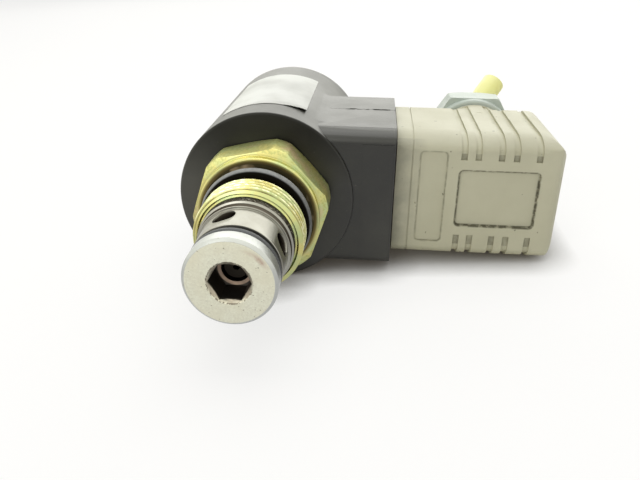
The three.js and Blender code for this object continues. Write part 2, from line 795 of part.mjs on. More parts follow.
// Half sizes of a spring contact round a blade, with its walls
const contactWide = blade.width / 2 + fit.seat + contact.wallWide;
const contactThin = blade.thickness / 2 + fit.seat + contact.wallThin;
const contactFront = blockFront + contact.start;
const contactBack = contactFront + contact.length;
const clampEnd = contactBack + fit.seat + clampScrew.length;
function contactSolid({ y, z, flat }) {
  const [along, up] = acrossBlade(y, z, flat, contactWide, contactThin);
  const [slotWide, slotThin] = [contactWide - contact.wallWide, contactThin - contact.wallThin];
  const [slotAlong, slotUp] = acrossBlade(y, z, flat, slotWide, slotThin);
  return cut(
    box([contactFront, contactBack], along, up),
    box([contactFront - fit.overrun, contactBack - contact.wallThin * 2], slotAlong, slotUp),
  );
}

function terminalBlock() {
  const half = cavityHalf - fit.seat;
  const body = box(
    [blockFront, blockBack],
    [plugFront + plug.wall + fit.seat, plugBack - plug.wall - fit.seat],
    [-half, half],
  );
  const hole = alongX(rod(plugScrew.radius + fit.seat, 0, plugEnd, sides.tiny), plugMiddle, 0);
  const pockets = bladePlaces.flatMap(({ y, z, flat }) => {
    const [along, up] = acrossBlade(y, z, flat, contactWide + fit.seat, contactThin + fit.seat);
    return [
      box([contactFront - fit.seat, blockBack + fit.overrun], along, up),
      bladeBox(y, z, flat, fit.seat, 0),
    ];
  });
  return cut(body, hole, ...pockets);
}

function clampScrewSolid({ y, z }) {
  const from = contactBack + fit.seat;
  const seat = from + clampScrew.length - clampScrew.headLength;
  const body = turned(
    [
      [0, from],
      [clampScrew.radius, from],
      [clampScrew.radius, seat],
      [clampScrew.headRadius, seat],
      [clampScrew.headRadius, seat + clampScrew.headLength],
      [0, seat + clampScrew.headLength],
    ],
    sides.tiny,
  );
  return alongX(body, y, z);
}

const headBack = plugEnd - plugScrew.sink;
const headFront = headBack - plugScrew.headLength;
function plugScrewSolid() {
  const body = turned(
    [
      [0, tower.reach - towerNut.length],
      [plugScrew.radius, tower.reach - towerNut.length],
      [plugScrew.radius, headFront],
      [plugScrew.headRadius, headFront],
      [plugScrew.headRadius, headBack],
      [0, headBack],
    ],
    sides.small,
  );
  const slot = box(
    [-plugScrew.slotWidth / 2, plugScrew.slotWidth / 2],
    [headBack - plugScrew.slotDepth, headBack + fit.overrun],
    [-plugScrew.headRadius - fit.overrun, plugScrew.headRadius + fit.overrun],
  );
  return alongX(cut(body, slot), plugMiddle, 0);
}

function glandNutSolid() {
  const hole = cable.radius + 2 * fit.seat;
  const spigot = glandBore.radius - fit.seat;
  const corner = glandNut.acrossFlats / 2 / Math.cos(Math.PI / 6);
  const body = turned(
    [
      [hole, glandNutFront - fit.seat - glandNut.spigot],
      [spigot, glandNutFront - fit.seat - glandNut.spigot],
      [spigot, glandNutFront],
      [glandFlange.radius, glandNutFront],
      [glandFlange.radius, glandNutFront + glandFlange.length],
      [corner, glandNutFront + glandFlange.length],
      [corner, glandNutBack - 2 * glandNut.chamfer],
      [glandNut.rearRadius, glandNutBack],
      [hole, glandNutBack],
    ],
    sides.inner,
  );
  const bar = hexagonY(glandNut.acrossFlats, 0, plugMiddle, glandNutBack + fit.overrun);
  return moved(body.intersect(bar), glandX, 0, gland.rise);
}

// The cut end of the cable: out of the gland, then bent up and away from the coil. Each place on
// the bend stands the shares of the cable's radius off the middle of the nut's rear face.
const bendShares = [
  [0.1, 0.5, 0.15],
  [0.45, 1.1, 1],
  [1.3, 1.7, 2.5],
  [2.4, 3, 3.75],
];
const cableStart = plugMiddle + cable.inset;
function placesFrom([x, y, z], unit, shares) {
  return shares.map(([dx, dy, dz]) => [x + dx * unit, y + dy * unit, z + dz * unit]);
}
function cableJacket() {
  const axis = [cableStart, plugBack, glandNutBack - cable.radius / 4].map((y) => [glandX, y, gland.rise]);
  const bend = placesFrom([glandX, glandNutBack, gland.rise], cable.radius, bendShares);
  return cord([...axis, ...bend], cable.radius, sides.tiny, steps.cable);
}

// The three cores run from the jacket's inner end to the heads of their clamp screws. Each place on
// the way stands the shares of a core's radius off the jacket's inner end.
const coreShares = {
  1: [[2.2, 0, 0], [2.2, -2.5, 0], [0.8, -6.5, -0.2], [-3.5, -11.5, -1.6]],
  2: [[-2.2, 0, 0], [-2.2, -1, -0.3], [-4.4, -1.5, -2.2]],
  earth: [[0, -0.3, 0], [0, -1.3, -0.8], [-1.2, -1.3, -5], [-4, -1.9, -9.2]],
};
const coreEndShare = 1.5; // how far a core ends beside its blade
function coreSolid({ name, y, z }) {
  const way = placesFrom([glandX, cableStart - fit.seat, gland.rise], cable.coreRadius, coreShares[name]);
  const inset = coreEndShare * cable.coreRadius;
  const end = [
    clampEnd + fit.seat + cable.coreRadius,
    y + Math.sign(plugMiddle - y) * inset,
    z - Math.sign(z) * inset,
  ];
  return cord([...way, end], cable.coreRadius, sides.core, steps.core);
}

const valve = new THREE.Group();
function add(group, name, solid, material) {
  const mesh = new THREE.Mesh(geometryOf(solid), material);
  mesh.name = name;
  group.add(mesh);
}

// Cartridge
const cartridge = new THREE.Group();
add(cartridge, "valve_body", valveBody(), zinc);
add(cartridge, "cage", cage(), steel);
add(cartridge, "nose_insert", noseInsert(), steel);
add(
  cartridge,
  "nose_seal",
  ringSeal(sleeve.radius - sealGroove.depth, noseSeal.wire, grooveMiddle, sides.large),
  rubber,
);
add(
  cartridge,
  "body_seal",
  ringSeal(undercut.radius, bodySeal.wire, seatFace - bodySeal.place, sides.large),
  rubber,
);
add(cartridge, "poppet", poppetSolid(), steel);
const poppetCoil = wound(poppetSpring, pocketFloor + fit.seat, webFront - fit.seat);
add(cartridge, "poppet_spring", poppetCoil, plainSteel);
add(cartridge, "pilot_pin", pilotPinSolid(), steel);
add(cartridge, "armature", armatureSolid(), plainSteel);
add(
  cartridge,
  "armature_spring",
  wound(
    armatureSpring,
    armatureBack - armature.pocketDepth + fit.seat,
    poleFront + pole.pocketDepth - fit.seat,
  ),
  plainSteel,
);
add(cartridge, "pole_piece", poleSolid(), plainSteel);
add(cartridge, "armature_tube", sleeveSolid(tube.radius, tubeBore, tubeFront, tubeBack, sides.inner), steel);
add(cartridge, "coil_nut", coilNutSolid(), zinc);
for (const [name, station] of [
  ["front_coil_seal", fit.touch + coilSeal.wire],
  ["rear_coil_seal", coil.length - fit.touch - coilSeal.wire],
]) {
  add(cartridge, name, ringSeal(tube.radius + fit.touch, coilSeal.wire, station, sides.inner), rubber);
}
valve.add(cartridge);

// Coil
const coilGroup = new THREE.Group();
add(coilGroup, "coil_housing", coilHousing(), charcoal);
const shellRing = sleeveSolid(yokeOuter, yokeInner, bobbinFront, bobbinBack, sides.inner);
add(coilGroup, "yoke_shell", shellRing, plainSteel);
for (const [name, from] of [
  ["front_flux_washer", washerFrontFace],
  ["rear_flux_washer", washerRearFace - yoke.endThickness],
]) {
  const ring = sleeveSolid(yokeOuter, bobbinBore, from, from + yoke.endThickness, sides.inner);
  add(coilGroup, name, ring, plainSteel);
}
add(coilGroup, "bobbin", bobbinSolid(), blackPlastic);
add(
  coilGroup,
  "winding",
  sleeveSolid(
    windingRadius,
    windingBore,
    bobbinFront + bobbin.flange + fit.seat,
    bobbinBack - bobbin.flange - fit.seat,
    sides.inner,
  ),
  copper,
);
for (const { name, y, z, flat } of bladePlaces) {
  add(coilGroup, "blade_" + name, bladeBox(y, z, flat, 0, 0), tinned);
}
add(
  coilGroup,
  "tower_nut",
  alongX(
    sleeveSolid(
      towerNut.radius,
      plugScrew.radius + fit.slide,
      tower.reach - towerNut.length,
      tower.reach - fit.seat,
      sides.small,
    ),
    plugMiddle,
    0,
  ),
  brass,
);
add(coilGroup, "type_label", typeLabel(), paper);
valve.add(coilGroup);

// Plug
const plugGroup = new THREE.Group();
add(plugGroup, "plug_housing", plugHousing(), greyPlastic);
add(plugGroup, "plug_gasket", plugGasket(), rubber);
add(plugGroup, "terminal_block", terminalBlock(), blackPlastic);
for (const place of bladePlaces) {
  add(plugGroup, "contact_" + place.name, contactSolid(place), tinned);
  add(plugGroup, "clamp_screw_" + place.name, clampScrewSolid(place), steel);
}
add(plugGroup, "plug_screw", plugScrewSolid(), steel);
add(
  plugGroup,
  "plug_screw_seal",
  alongX(
    sleeveSolid(
      screwSeal.radius,
      plugScrew.radius + fit.slide,
      headFront - fit.seat - screwSeal.thickness,
      headFront - fit.seat,
      sides.small,
    ),
    plugMiddle,
    0,
  ),
  rubber,
);
const glandRing = (from, to) =>
  moved(
    sleeveSolid(glandBore.radius - fit.seat, cable.radius + fit.seat, from, to, sides.small),
    glandX,
    0,
    gland.rise,
  );
const spigotEnd = glandNutFront - fit.seat - glandNut.spigot;
const washerFront = spigotEnd - fit.seat - glandWasher.thickness;
add(plugGroup, "gland_nut", glandNutSolid(), paleNut);
add(plugGroup, "gland_washer", glandRing(washerFront, spigotEnd - fit.seat), plainSteel);
add(plugGroup, "gland_seal", glandRing(glandBoreFloor + fit.seat, washerFront - fit.seat), rubber);
add(plugGroup, "cable_jacket", cableJacket(), yellowJacket);
const [first, second, earth] = bladePlaces;
add(plugGroup, "core_1", coreSolid(first), brownCore);
add(plugGroup, "core_2", coreSolid(second), blueCore);
add(plugGroup, "core_earth", coreSolid(earth), greenCore);
valve.add(plugGroup);

// The lie on the table: the coil and the plug's lower far edge touch the same plane
const farReach = plugEnd - plug.edge;
const farDrop = halfPlug - plug.edge;
const farAngle = Math.atan(farDrop / farReach);
const lie = Math.asin((coilRadius - plug.edge) / Math.hypot(farReach, farDrop)) - farAngle;
valve.rotation.y = lie;

// The origin is the middle of the footprint, on the table
const lying = new THREE.Group();
lying.add(valve);
lying.updateMatrixWorld(true);
const bounds = new THREE.Box3().setFromObject(lying, true);
const middle = bounds.getCenter(new THREE.Vector3());
valve.position.set(-middle.x, -middle.y, -bounds.min.z);
lying.updateMatrixWorld(true);

export default lying;
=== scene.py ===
# %% [markdown]
# # A solenoid cartridge valve, dressed piece by piece
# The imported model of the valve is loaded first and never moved: it carries the sizes, the moving
# bodies and the places of all the pieces. Every visible piece is then modelled again round it with
# the roundings, threads and recesses of the real one, and every surface gets a finish from nodes.

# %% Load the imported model
import json
import math

import bmesh
import bpy
from mathutils import Matrix, Vector


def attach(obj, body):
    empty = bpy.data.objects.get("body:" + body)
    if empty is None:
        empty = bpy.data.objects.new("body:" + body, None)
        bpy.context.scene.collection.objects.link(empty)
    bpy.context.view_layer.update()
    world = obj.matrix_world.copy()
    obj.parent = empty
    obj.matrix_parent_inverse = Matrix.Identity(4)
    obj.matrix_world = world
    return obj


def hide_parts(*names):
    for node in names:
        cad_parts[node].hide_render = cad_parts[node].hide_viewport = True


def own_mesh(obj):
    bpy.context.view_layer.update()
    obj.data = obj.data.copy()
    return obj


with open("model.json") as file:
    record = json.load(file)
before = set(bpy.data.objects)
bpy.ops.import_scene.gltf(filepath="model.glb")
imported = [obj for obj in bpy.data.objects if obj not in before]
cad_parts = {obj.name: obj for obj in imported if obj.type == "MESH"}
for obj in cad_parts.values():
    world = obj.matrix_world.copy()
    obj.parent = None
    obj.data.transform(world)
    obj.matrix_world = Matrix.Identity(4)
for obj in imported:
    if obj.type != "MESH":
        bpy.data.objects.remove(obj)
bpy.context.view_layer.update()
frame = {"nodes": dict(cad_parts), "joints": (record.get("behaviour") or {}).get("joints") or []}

# %% [markdown]
# The valve lies on its coil and on one edge of its plug, so it is rolled a few degrees about its
# own axis. Pieces are far easier to model while that axis is straight, so each one is made in the
# valve's own frame, in millimetres, and is rolled into place when it is finished. The packed
# joints say where the axis lies and which way the plug points, and that gives the roll.

# %% The valve's own frame
MM = 0.001
joints = {joint["name"]: joint for joint in frame["joints"]}
axis_point = Vector(joints["coil_swivel"]["pos_m"])
plug_way = Vector(joints["plug_pull"]["axis"])
roll = math.atan2(-plug_way.z, plug_way.x)
into_place = Matrix.Translation(axis_point) @ Matrix.Rotation(roll, 4, "Y")
print("the valve is rolled by", round(math.degrees(roll), 3), "degrees")

# %% [markdown]
# Sizes that several pieces, or a piece and its wear, go by are named here, in millimetres. Stations
# run along the axis from the coil's front face, and the nose is at the minus end. A size that only
# one piece goes by is given where that piece is made.

# %% Main sizes
nose_end, groove_front, groove_back, sleeve_back = -36.73, -33.73, -31.33, -24.63
body_front, thread_back, seat_face, hex_back = -21.23, -15.05, -9.95, -0.3
sleeve_radius, collar_radius, undercut_radius, washer_radius = 8.0, 8.85, 8.3, 12.2
thread_crest, thread_root, thread_pitch = 10.32, 9.54, 1.27
ring_middle = seat_face - 2.1
coil_radius, coil_length, winding_radius = 18.5, 50, 16.4
tower_front, tower_back, tower_top, tower_reach, seam = 0.7, 30.9, 15.2, 26.8, 18.7
plug_foot, plug_end, plug_front, plug_back, plug_half = 27.1, 62.1, 3.5, 30.8, 13.75
plug_middle, blade_spacing = 17.15, 18
narrow_panel, square_panel = ((32.0, 37.7), (-9.65, 10.65)), ((40.3, 57.0), (-5.8, 6.8))

# %% [markdown]
# The camera stands where the photographer stood: a little above the nose and looking down on it,
# so the far end of the coil is smaller than the near one. Its place was worked out beforehand from
# edges whose real places are known.

# %% Camera
camera_place = Vector((21.5495, -124.8743, 50.7498)) * MM
camera_yaw, camera_pitch, camera_roll = -0.0793701, 0.4454405, 0.0131318
focal_share, sensor_width = 640.0514 / 640, 36

forward = Vector(
    (
        math.sin(camera_yaw) * math.cos(camera_pitch),
        math.cos(camera_yaw) * math.cos(camera_pitch),
        -math.sin(camera_pitch),
    )
)
level_right = forward.cross(Vector((0, 0, 1))).normalized()
level_up = level_right.cross(forward)
camera_right = level_right * math.cos(camera_roll) + level_up * math.sin(camera_roll)
camera_up = level_up * math.cos(camera_roll) - level_right * math.sin(camera_roll)
camera_data = bpy.data.cameras.new("camera")
camera_data.sensor_width = sensor_width
camera_data.lens = sensor_width * focal_share
camera_data.clip_start, camera_data.clip_end = 0.01, 10
camera = bpy.data.objects.new("camera", camera_data)
turn = Matrix((camera_right, camera_up, -forward)).transposed().to_4x4()
camera.matrix_world = into_place @ Matrix.Translation(camera_place) @ turn
scene = bpy.context.scene
scene.collection.objects.link(camera)
scene.camera = camera
scene.view_settings.view_transform = "Standard"
print("camera lens", round(camera_data.lens, 2), "at", [round(v, 4) for v in camera.location])

# %% [markdown]
# Every surface, and the table and the room too, is made of shader nodes. One helper adds a node and
# feeds its inputs with values or links, and the rest are short names for the nodes used most.

# %% Helpers for shader nodes


def feed(node, inputs):
    """Gives inputs, by name or number, their values or their links."""
    for key, value in inputs.items():
        if isinstance(value, bpy.types.NodeSocket):
            node.id_data.links.new(value, node.inputs[key])
        else:
            node.inputs[key].default_value = value


def add_node(tree, kind, inputs, **settings):
    node = tree.nodes.new("ShaderNode" + kind)
    for name, setting in settings.items():
        setattr(node, name, setting)
    feed(node, inputs)
    return node


def add_coordinates(tree):
    return add_node(tree, "TexCoord", {}).outputs["Object"]


def add_noise(tree, scale, detail, rough=0.55, vector=None):
    place = vector or add_coordinates(tree)
    inputs = {"Vector": place, "Scale": scale, "Detail": detail, "Roughness": rough}
    return add_node(tree, "TexNoise", inputs).outputs[0]


def add_range(value, low, high, to_low=0.0, to_high=1.0):
    inputs = dict(enumerate((value, low, high, to_low, to_high)))
    return add_node(value.id_data, "MapRange", inputs).outputs[0]


def add_math(operation, first, second=0):
    return add_node(first.id_data, "Math", {0: first, 1: second}, operation=operation).outputs[0]


def add_mix(factor, first, second):
    inputs = {0: factor, 6: first, 7: second}
    return add_node(factor.id_data, "Mix", inputs, data_type="RGBA").outputs[2]


def mix_shaders(factor, first, second):
    inputs = {0: factor, 1: first.outputs[0], 2: second.outputs[0]}
    return add_node(factor.id_data, "MixShader", inputs).outputs[0]


def seen_as_white(tree):
    """1 for rays that look at a surface, by eye or in a mirror, and 0 for those that light it."""
    rays = add_node(tree, "LightPath", {}).outputs
    by_eye = add_math("MAXIMUM", rays["Is Camera Ray"], rays["Is Glossy Ray"])
    return add_math("MAXIMUM", by_eye, rays["Is Transmission Ray"])


# %% [markdown]
# Product photographs like this one are taken on a white table that fades into a white background.
# The table is a real pale surface, so it catches the soft shadow, and the camera and mirror-like
# surfaces see it partly as plain white light. That glow is painted darker close to what stands on
# the table, a painted contact shadow that keeps the shade there dark. The world is brighter than
# white to those rays, as an overexposed background is, which gives the black mouldings their pale
# sheen on top.

# %% Table and surroundings
table_size, table_drop = 4, 0.05 * MM
contact_reach, contact_power, contact_shadow_tone = 7.5 * MM, 1.6, (0.03, 0.022, 0.012, 1)
glow_strength, glow_share = 1.05, 0.7

table_paint = bpy.data.materials.new("white table")
table_paint.use_nodes = True
tree = table_paint.node_tree
pale = tree.nodes["Principled BSDF"]
feed(pale, {"Base Color": (0.9, 0.89, 0.84, 1), "Roughness": 0.7, "Specular IOR Level": 0.2})
# Painted contact shadow: the glow is darkened where the table is close to the valve.
openness = add_node(tree, "AmbientOcclusion", {"Distance": contact_reach}, samples=8).outputs["AO"]
glow_tint = add_mix(add_math("POWER", openness, contact_power), contact_shadow_tone, (1, 1, 1, 1))
glow = add_node(tree, "Emission", {"Color": glow_tint, "Strength": glow_strength})
white_share = add_math("MULTIPLY", seen_as_white(tree), glow_share)
feed(tree.nodes["Material Output"], {"Surface": mix_shaders(white_share, pale, glow)})

bpy.ops.object.select_all(action="DESELECT")
bpy.ops.mesh.primitive_plane_add(size=table_size, location=(0, 0, -table_drop))
table = bpy.context.object
table.name = "table"
table.data.materials.append(table_paint)

world = bpy.data.worlds.new("white room")
scene.world = world
world.use_nodes = True
tree = world.node_tree
room = tree.nodes["Background"]
feed(room, {"Color": (1, 0.99, 0.97, 1), "Strength": 0.34})
white_room = add_node(tree, "Background", {"Color": (1, 1, 0.9, 1), "Strength": 1.7})
feed(tree.nodes["World Output"], {"Surface": mix_shaders(seen_as_white(tree), room, white_room)})

# %% [markdown]
# A wide soft light hangs above the valve and a second one stands far behind it. They brighten all
# the top faces and leave the front ones in soft shade, as in the photograph. A weak one at the left
# front lifts the nose.

# %% Soft lights


def soft_light(name, place, aim, size, power):
    data = bpy.data.lights.new(name, "AREA")
    data.shape = "RECTANGLE"
    data.size, data.size_y = size
    data.energy = power
    lamp = bpy.data.objects.new(name, data)
    scene.collection.objects.link(lamp)
    lamp.location = place
    lamp.rotation_euler = (Vector(aim) - Vector(place)).to_track_quat("-Z", "Y").to_euler()
    print("light", name, power, "W")


soft_light("top_light", (0.03, 0.12, 0.6), (0, 0, 0.02), (0.8, 0.6), 2.2)
soft_light("back_light", (0.1, 0.8, 0.42), (0, 0, 0.02), (1.3, 0.5), 2.6)
soft_light("front_light", (-0.25, -0.45, 0.3), (0, -0.02, 0.02), (0.3, 0.3), 0.9)

# %% [markdown]
# Real surfaces are never one flat colour. A few small effects are built once as node groups and
# used by most finishes: a fine grain that roughens a moulding, broad smudges that mix two tones,
# the fine rings that a lathe leaves on a turned piece, and scattered specks. One more group says
# where on the valve a point lies, in millimetres, so that dirt can be laid where it really sits.

# %% Shared effects


def effect_group(name, inputs, *outputs):
    """An empty node group, the outputs of its entry node, and the node that its results go to."""
    group = bpy.data.node_groups.new(name, "ShaderNodeTree")
    for label, value in inputs.items():
        kind = "NodeSocketColor" if isinstance(value, tuple) else "NodeSocketFloat"
        socket = group.interface.new_socket(name=label, in_out="INPUT", socket_type=kind)
        socket.default_value = value
    for label in outputs:
        kind = "NodeSocketColor" if label == "Color" else "NodeSocketFloat"
        group.interface.new_socket(name=label, in_out="OUTPUT", socket_type=kind)
    return group, group.nodes.new("NodeGroupInput").outputs, group.nodes.new("NodeGroupOutput")


grain, given, result = effect_group("moulded grain", {"Scale": 4000.0, "Pits": 0.4}, "Height")
fine = add_noise(grain, given["Scale"], 3.0)
pits = add_math("MULTIPLY", add_range(add_noise(grain, 900.0, 2.0), 0.35, 0.5), given["Pits"])
feed(result, {"Height": add_math("ADD", fine, pits)})

smudge_inputs = {"Scale": 90.0, "From": 0.4, "To": 0.65}
smudge_inputs |= {"Plain": (1, 1, 1, 1), "Smudged": (1, 1, 1, 1)}
smudges, given, result = effect_group("smudges", smudge_inputs, "Color", "Mask")
cloud = add_range(add_noise(smudges, given["Scale"], 5.0, 0.6), given["From"], given["To"])
feed(result, {"Color": add_mix(cloud, given["Plain"], given["Smudged"]), "Mask": cloud})

rings, given, result = effect_group("lathe rings", {"Scale": 9000.0}, "Height")
place = add_node(rings, "SeparateXYZ", {0: add_coordinates(rings)}).outputs
only_station = add_node(rings, "CombineXYZ", {"Y": place["Y"]}).outputs[0]
feed(result, {"Height": add_noise(rings, given["Scale"], 2.0, vector=only_station)})

specks, given, result = effect_group("specks", {"Scale": 1500.0, "Above": 0.7}, "Mask")
dots = add_noise(specks, given["Scale"], 1.0)
full = add_math("ADD", given["Above"], 0.03)
feed(result, {"Mask": add_range(dots, given["Above"], full)})

place_labels = ("Across", "Along", "Up", "Radius")
valve_place, given, result = effect_group("place on the valve", {}, *place_labels)
unrolling = {"Location": axis_point, "Rotation": (0, roll, 0), "Scale": (MM, MM, MM)}
unrolling["Vector"] = add_coordinates(valve_place)
unrolled = add_node(valve_place, "Mapping", unrolling, vector_type="TEXTURE").outputs[0]
across, along, up = add_node(valve_place, "SeparateXYZ", {0: unrolled}).outputs
squares = [add_math("MULTIPLY", part, part) for part in (across, up)]
radius = add_math("SQRT", add_math("ADD", *squares))
feed(result, dict(zip(place_labels, (across, along, up, radius))))
print("shared effects:", [group.name for group in bpy.data.node_groups])

# %% [markdown]
# One function then makes a finish: two tones that the smudges mix, a roughness that varies with
# them, and a bump from the grain or from the lathe rings. What stays the same all over a surface
# is set on the shader itself.

# %% A finish from the shared effects
bump_height = 0.1 * MM


def finish(
    name, plain, smudged, rough=(0.4, 0.55), metallic=0.0, smudge=(90.0, 0.4, 0.65),
    bump=("moulded grain", 4000.0, 0.12),
):
    """A material from two tones, a range of roughness, the scale and limits of the smudges, and
    the name, scale and strength of the effect that gives the bump."""
    material = bpy.data.materials.new(name)
    material.use_nodes = True
    tree = material.node_tree
    tones = dict(zip(("Scale", "From", "To"), smudge), Plain=(*plain, 1), Smudged=(*smudged, 1))
    tone = add_node(tree, "Group", tones, node_tree=smudges).outputs
    effect, scale, depth = bump
    relief = add_node(tree, "Group", {"Scale": scale}, node_tree=bpy.data.node_groups[effect])
    raised = {"Strength": depth, "Distance": bump_height, "Height": relief.outputs["Height"]}
    inputs = {
        "Base Color": tone["Color"],
        "Roughness": add_range(tone["Mask"], 0.0, 1.0, *rough),
        "Metallic": metallic,
        "Normal": add_node(tree, "Bump", raised).outputs["Normal"],
    }
    feed(tree.nodes["Principled BSDF"], inputs)
    return material


charcoal = finish(
    "charcoal moulding", (0.012, 0.0117, 0.0095), (0.03, 0.0295, 0.024), (0.34, 0.48),
    smudge=(38.0, 0.38, 0.66),
)
grey_moulding = finish(
    "grey moulding", (0.54, 0.525, 0.385), (0.48, 0.465, 0.335), (0.42, 0.6),
    smudge=(60.0, 0.35, 0.7),
)
turned_steel = finish(
    "turned steel", (0.3, 0.295, 0.265), (0.25, 0.24, 0.21), (0.26, 0.42), 1.0,
    bump=("lathe rings", 9000.0, 0.12),
)
nose_steel = finish(
    "matt nose steel", (0.66, 0.66, 0.55), (0.58, 0.55, 0.44), (0.45, 0.65), 0.85,
    smudge=(220.0, 0.42, 0.7), bump=("moulded grain", 5000.0, 0.25),
)
oily_steel = finish("oily steel", (0.5, 0.47, 0.42), (0.3, 0.27, 0.23), (0.3, 0.5), 1.0)
zinc = finish(
    "yellow zinc plate", (0.52, 0.47, 0.18), (0.4, 0.45, 0.22), (0.26, 0.42), 1.0,
    smudge=(170.0, 0.42, 0.6), bump=("lathe rings", 7000.0, 0.1),
)
dark_steel = finish("soft iron", (0.25, 0.25, 0.24), (0.18, 0.17, 0.16), (0.35, 0.55), 1.0)
spring_wire = finish("spring wire", (0.45, 0.45, 0.44), (0.36, 0.35, 0.33), (0.25, 0.4), 1.0)
rubber = finish("black rubber", (0.03, 0.032, 0.036), (0.05, 0.052, 0.056), (0.34, 0.5))
pale_moulding = finish("pale gland moulding", (0.56, 0.62, 0.56), (0.47, 0.53, 0.47), (0.35, 0.5))
black_moulding = finish(
    "black insert moulding", (0.02, 0.02, 0.019), (0.03, 0.03, 0.028), (0.4, 0.6)
)
label_film = finish("white label film", (0.53, 0.54, 0.505), (0.47, 0.475, 0.44), (0.4, 0.55))
yellow_jacket = finish("yellow jacket", (0.97, 0.96, 0.4), (0.94, 0.91, 0.32), (0.35, 0.5))
copper = finish("enamelled copper", (0.5, 0.2, 0.07), (0.38, 0.14, 0.05), (0.2, 0.35), 1.0)
brass = finish("brass", (0.62, 0.45, 0.18), (0.5, 0.35, 0.13), (0.25, 0.4), 1.0)
tinned = finish("tinned contact", (0.66, 0.66, 0.64), (0.55, 0.54, 0.5), (0.2, 0.35), 1.0)
brown_core = finish("brown insulation", (0.12, 0.05, 0.02), (0.1, 0.04, 0.015), (0.35, 0.5))
blue_core = finish("blue insulation", (0.03, 0.1, 0.36), (0.025, 0.08, 0.3), (0.35, 0.5))
green_core = finish("green insulation", (0.1, 0.3, 0.05), (0.5, 0.45, 0.03), (0.35, 0.5))
print("finishes:", len(bpy.data.materials))

# %% [markdown]
# Wear and dirt, and painted shade and painted highlights, are laid over the finishes where the
# photograph shows them. Each is a mask times a tone: a band along the valve, a band of radii about
# its axis, the outline of a sunk panel, or specks that are scattered by noise.

# %% Masks for wear, dirt and painted light


def lay_over(material, mask, colour=None, rough=None):
    """Puts another tone or roughness over a finish where the mask is 1."""
    surface = material.node_tree.nodes["Principled BSDF"]
    if colour:
        below = surface.inputs["Base Color"].links[0].from_socket
        feed(surface, {"Base Color": add_mix(mask, below, (*colour, 1))})
    if rough:
        below = surface.inputs["Roughness"].links[0].from_socket
        feed(surface, {"Roughness": add_range(mask, 0.0, 1.0, below, rough)})


def dull(material, mask):
    """Takes the sheen off a finish, also at grazing angles, where the mask is 1."""
    full_shine, least_shine, edge_tint = 0.5, 0.05, (0.15, 0.15, 0.15, 1)
    inputs = {
        "Specular IOR Level": add_range(mask, 0.0, 1.0, full_shine, least_shine),
        "Specular Tint": add_mix(mask, (1, 1, 1, 1), edge_tint),
    }
    feed(material.node_tree.nodes["Principled BSDF"], inputs)


def located(material):
    """A finish's node tree and, in it, where on the valve a point lies."""
    tree = material.node_tree
    place = add_node(tree, "Group", {}, node_tree=valve_place).outputs
    return tree, *(place[label] for label in place_labels)


def both(whole, *masks):
    for mask in masks:
        whole = add_math("MULTIPLY", whole, mask)
    return whole


def band(value, low, high, soft=0.05):
    """1 between two limits, with soft edges."""
    rise = add_range(value, low - soft, low + soft)
    return both(rise, add_range(value, high - soft, high + soft, 1.0, 0.0))


def patchy(tree, scale, low, high, floor=0.0):
    """Broken cloudy patches from noise, from a least share up to 1."""
    return add_range(add_noise(tree, scale, 3.0), low, high, floor)


def scattered(tree, scale, above):
    inputs = {"Scale": scale, "Above": above}
    return add_node(tree, "Group", inputs, node_tree=specks).outputs["Mask"]


def panel_line(first, second, panel, width):
    """A line just inside the outline of a panel with round corners, from two coordinates."""
    corner, beyond_line, soft = 0.95, 0.15, 0.12
    squares = []
    for value, (low, high) in zip((first, second), panel):
        off = add_math("ABSOLUTE", add_math("SUBTRACT", value, (low + high) / 2))
        beyond = add_math("MAXIMUM", add_math("SUBTRACT", off, (high - low) / 2 - corner), 0)
        squares.append(add_math("MULTIPLY", beyond, beyond))
    edge = add_math("SQRT", add_math("ADD", *squares))
    return band(edge, corner - width, corner + beyond_line, soft)


# %% [markdown]
# The nose is bead-blasted: grainy, with a rusty crescent at its upper right, a brighter turned land
# and dark specks. Its socket is oily and is also painted dark inside as painted shade, with a brown
# ring on its floor, and the poppet's face deep in it is painted dark too. The zinc has painted
# shade in front of the washer face, in the undercut and in the roots of the thread, and a painted
# highlight on the crests.

# %% Wear and painted shade on the metals
tree, across, along, up, radius = located(nose_steel)
lay_over(nose_steel, patchy(tree, 3600.0, 0.35, 0.7), (0.57, 0.555, 0.455))
crescent = both(
    band(radius, 6.4, 7.1, 0.3), band(up, 3.4, 5.6, 0.6), band(across, 0, 9),
    patchy(tree, 700.0, 0.3, 0.55, 0.3),
)
lay_over(nose_steel, crescent, (0.4, 0.3, 0.24))
lay_over(nose_steel, band(radius, 7.44, 9), (0.42, 0.43, 0.42), 0.36)
lay_over(nose_steel, scattered(tree, 2100.0, 0.735), (0.26, 0.24, 0.19))
# Oil and painted shade: the socket is painted dark inside, for its oil and for the shade deep in
# it.
inside = both(band(radius, 0, 4.6), band(along, nose_end + 0.33, -20, 0.12))
lay_over(nose_steel, inside, (0.035, 0.03, 0.026), 0.42)
floor_ring = both(
    band(radius, 2.45, 3.1, 0.08), band(along, -31.62, -31.4), patchy(tree, 500.0, 0.3, 0.6, 0.6)
)
lay_over(nose_steel, floor_ring, (0.36, 0.26, 0.2), 0.4)
countersunk = both(
    band(radius, 3.2, 3.85), band(along, nose_end + 0.03, nose_end + 0.73),
    patchy(tree, 700.0, 0.35, 0.6, 0.2),
)
lay_over(nose_steel, countersunk, (0.34, 0.3, 0.24))
rim = both(
    band(radius, 3.7, 3.95), band(along, nose_end - 0.27, nose_end + 0.33),
    patchy(tree, 2600.0, 0.5, 0.56),
)
lay_over(nose_steel, rim, (0.16, 0.14, 0.11))

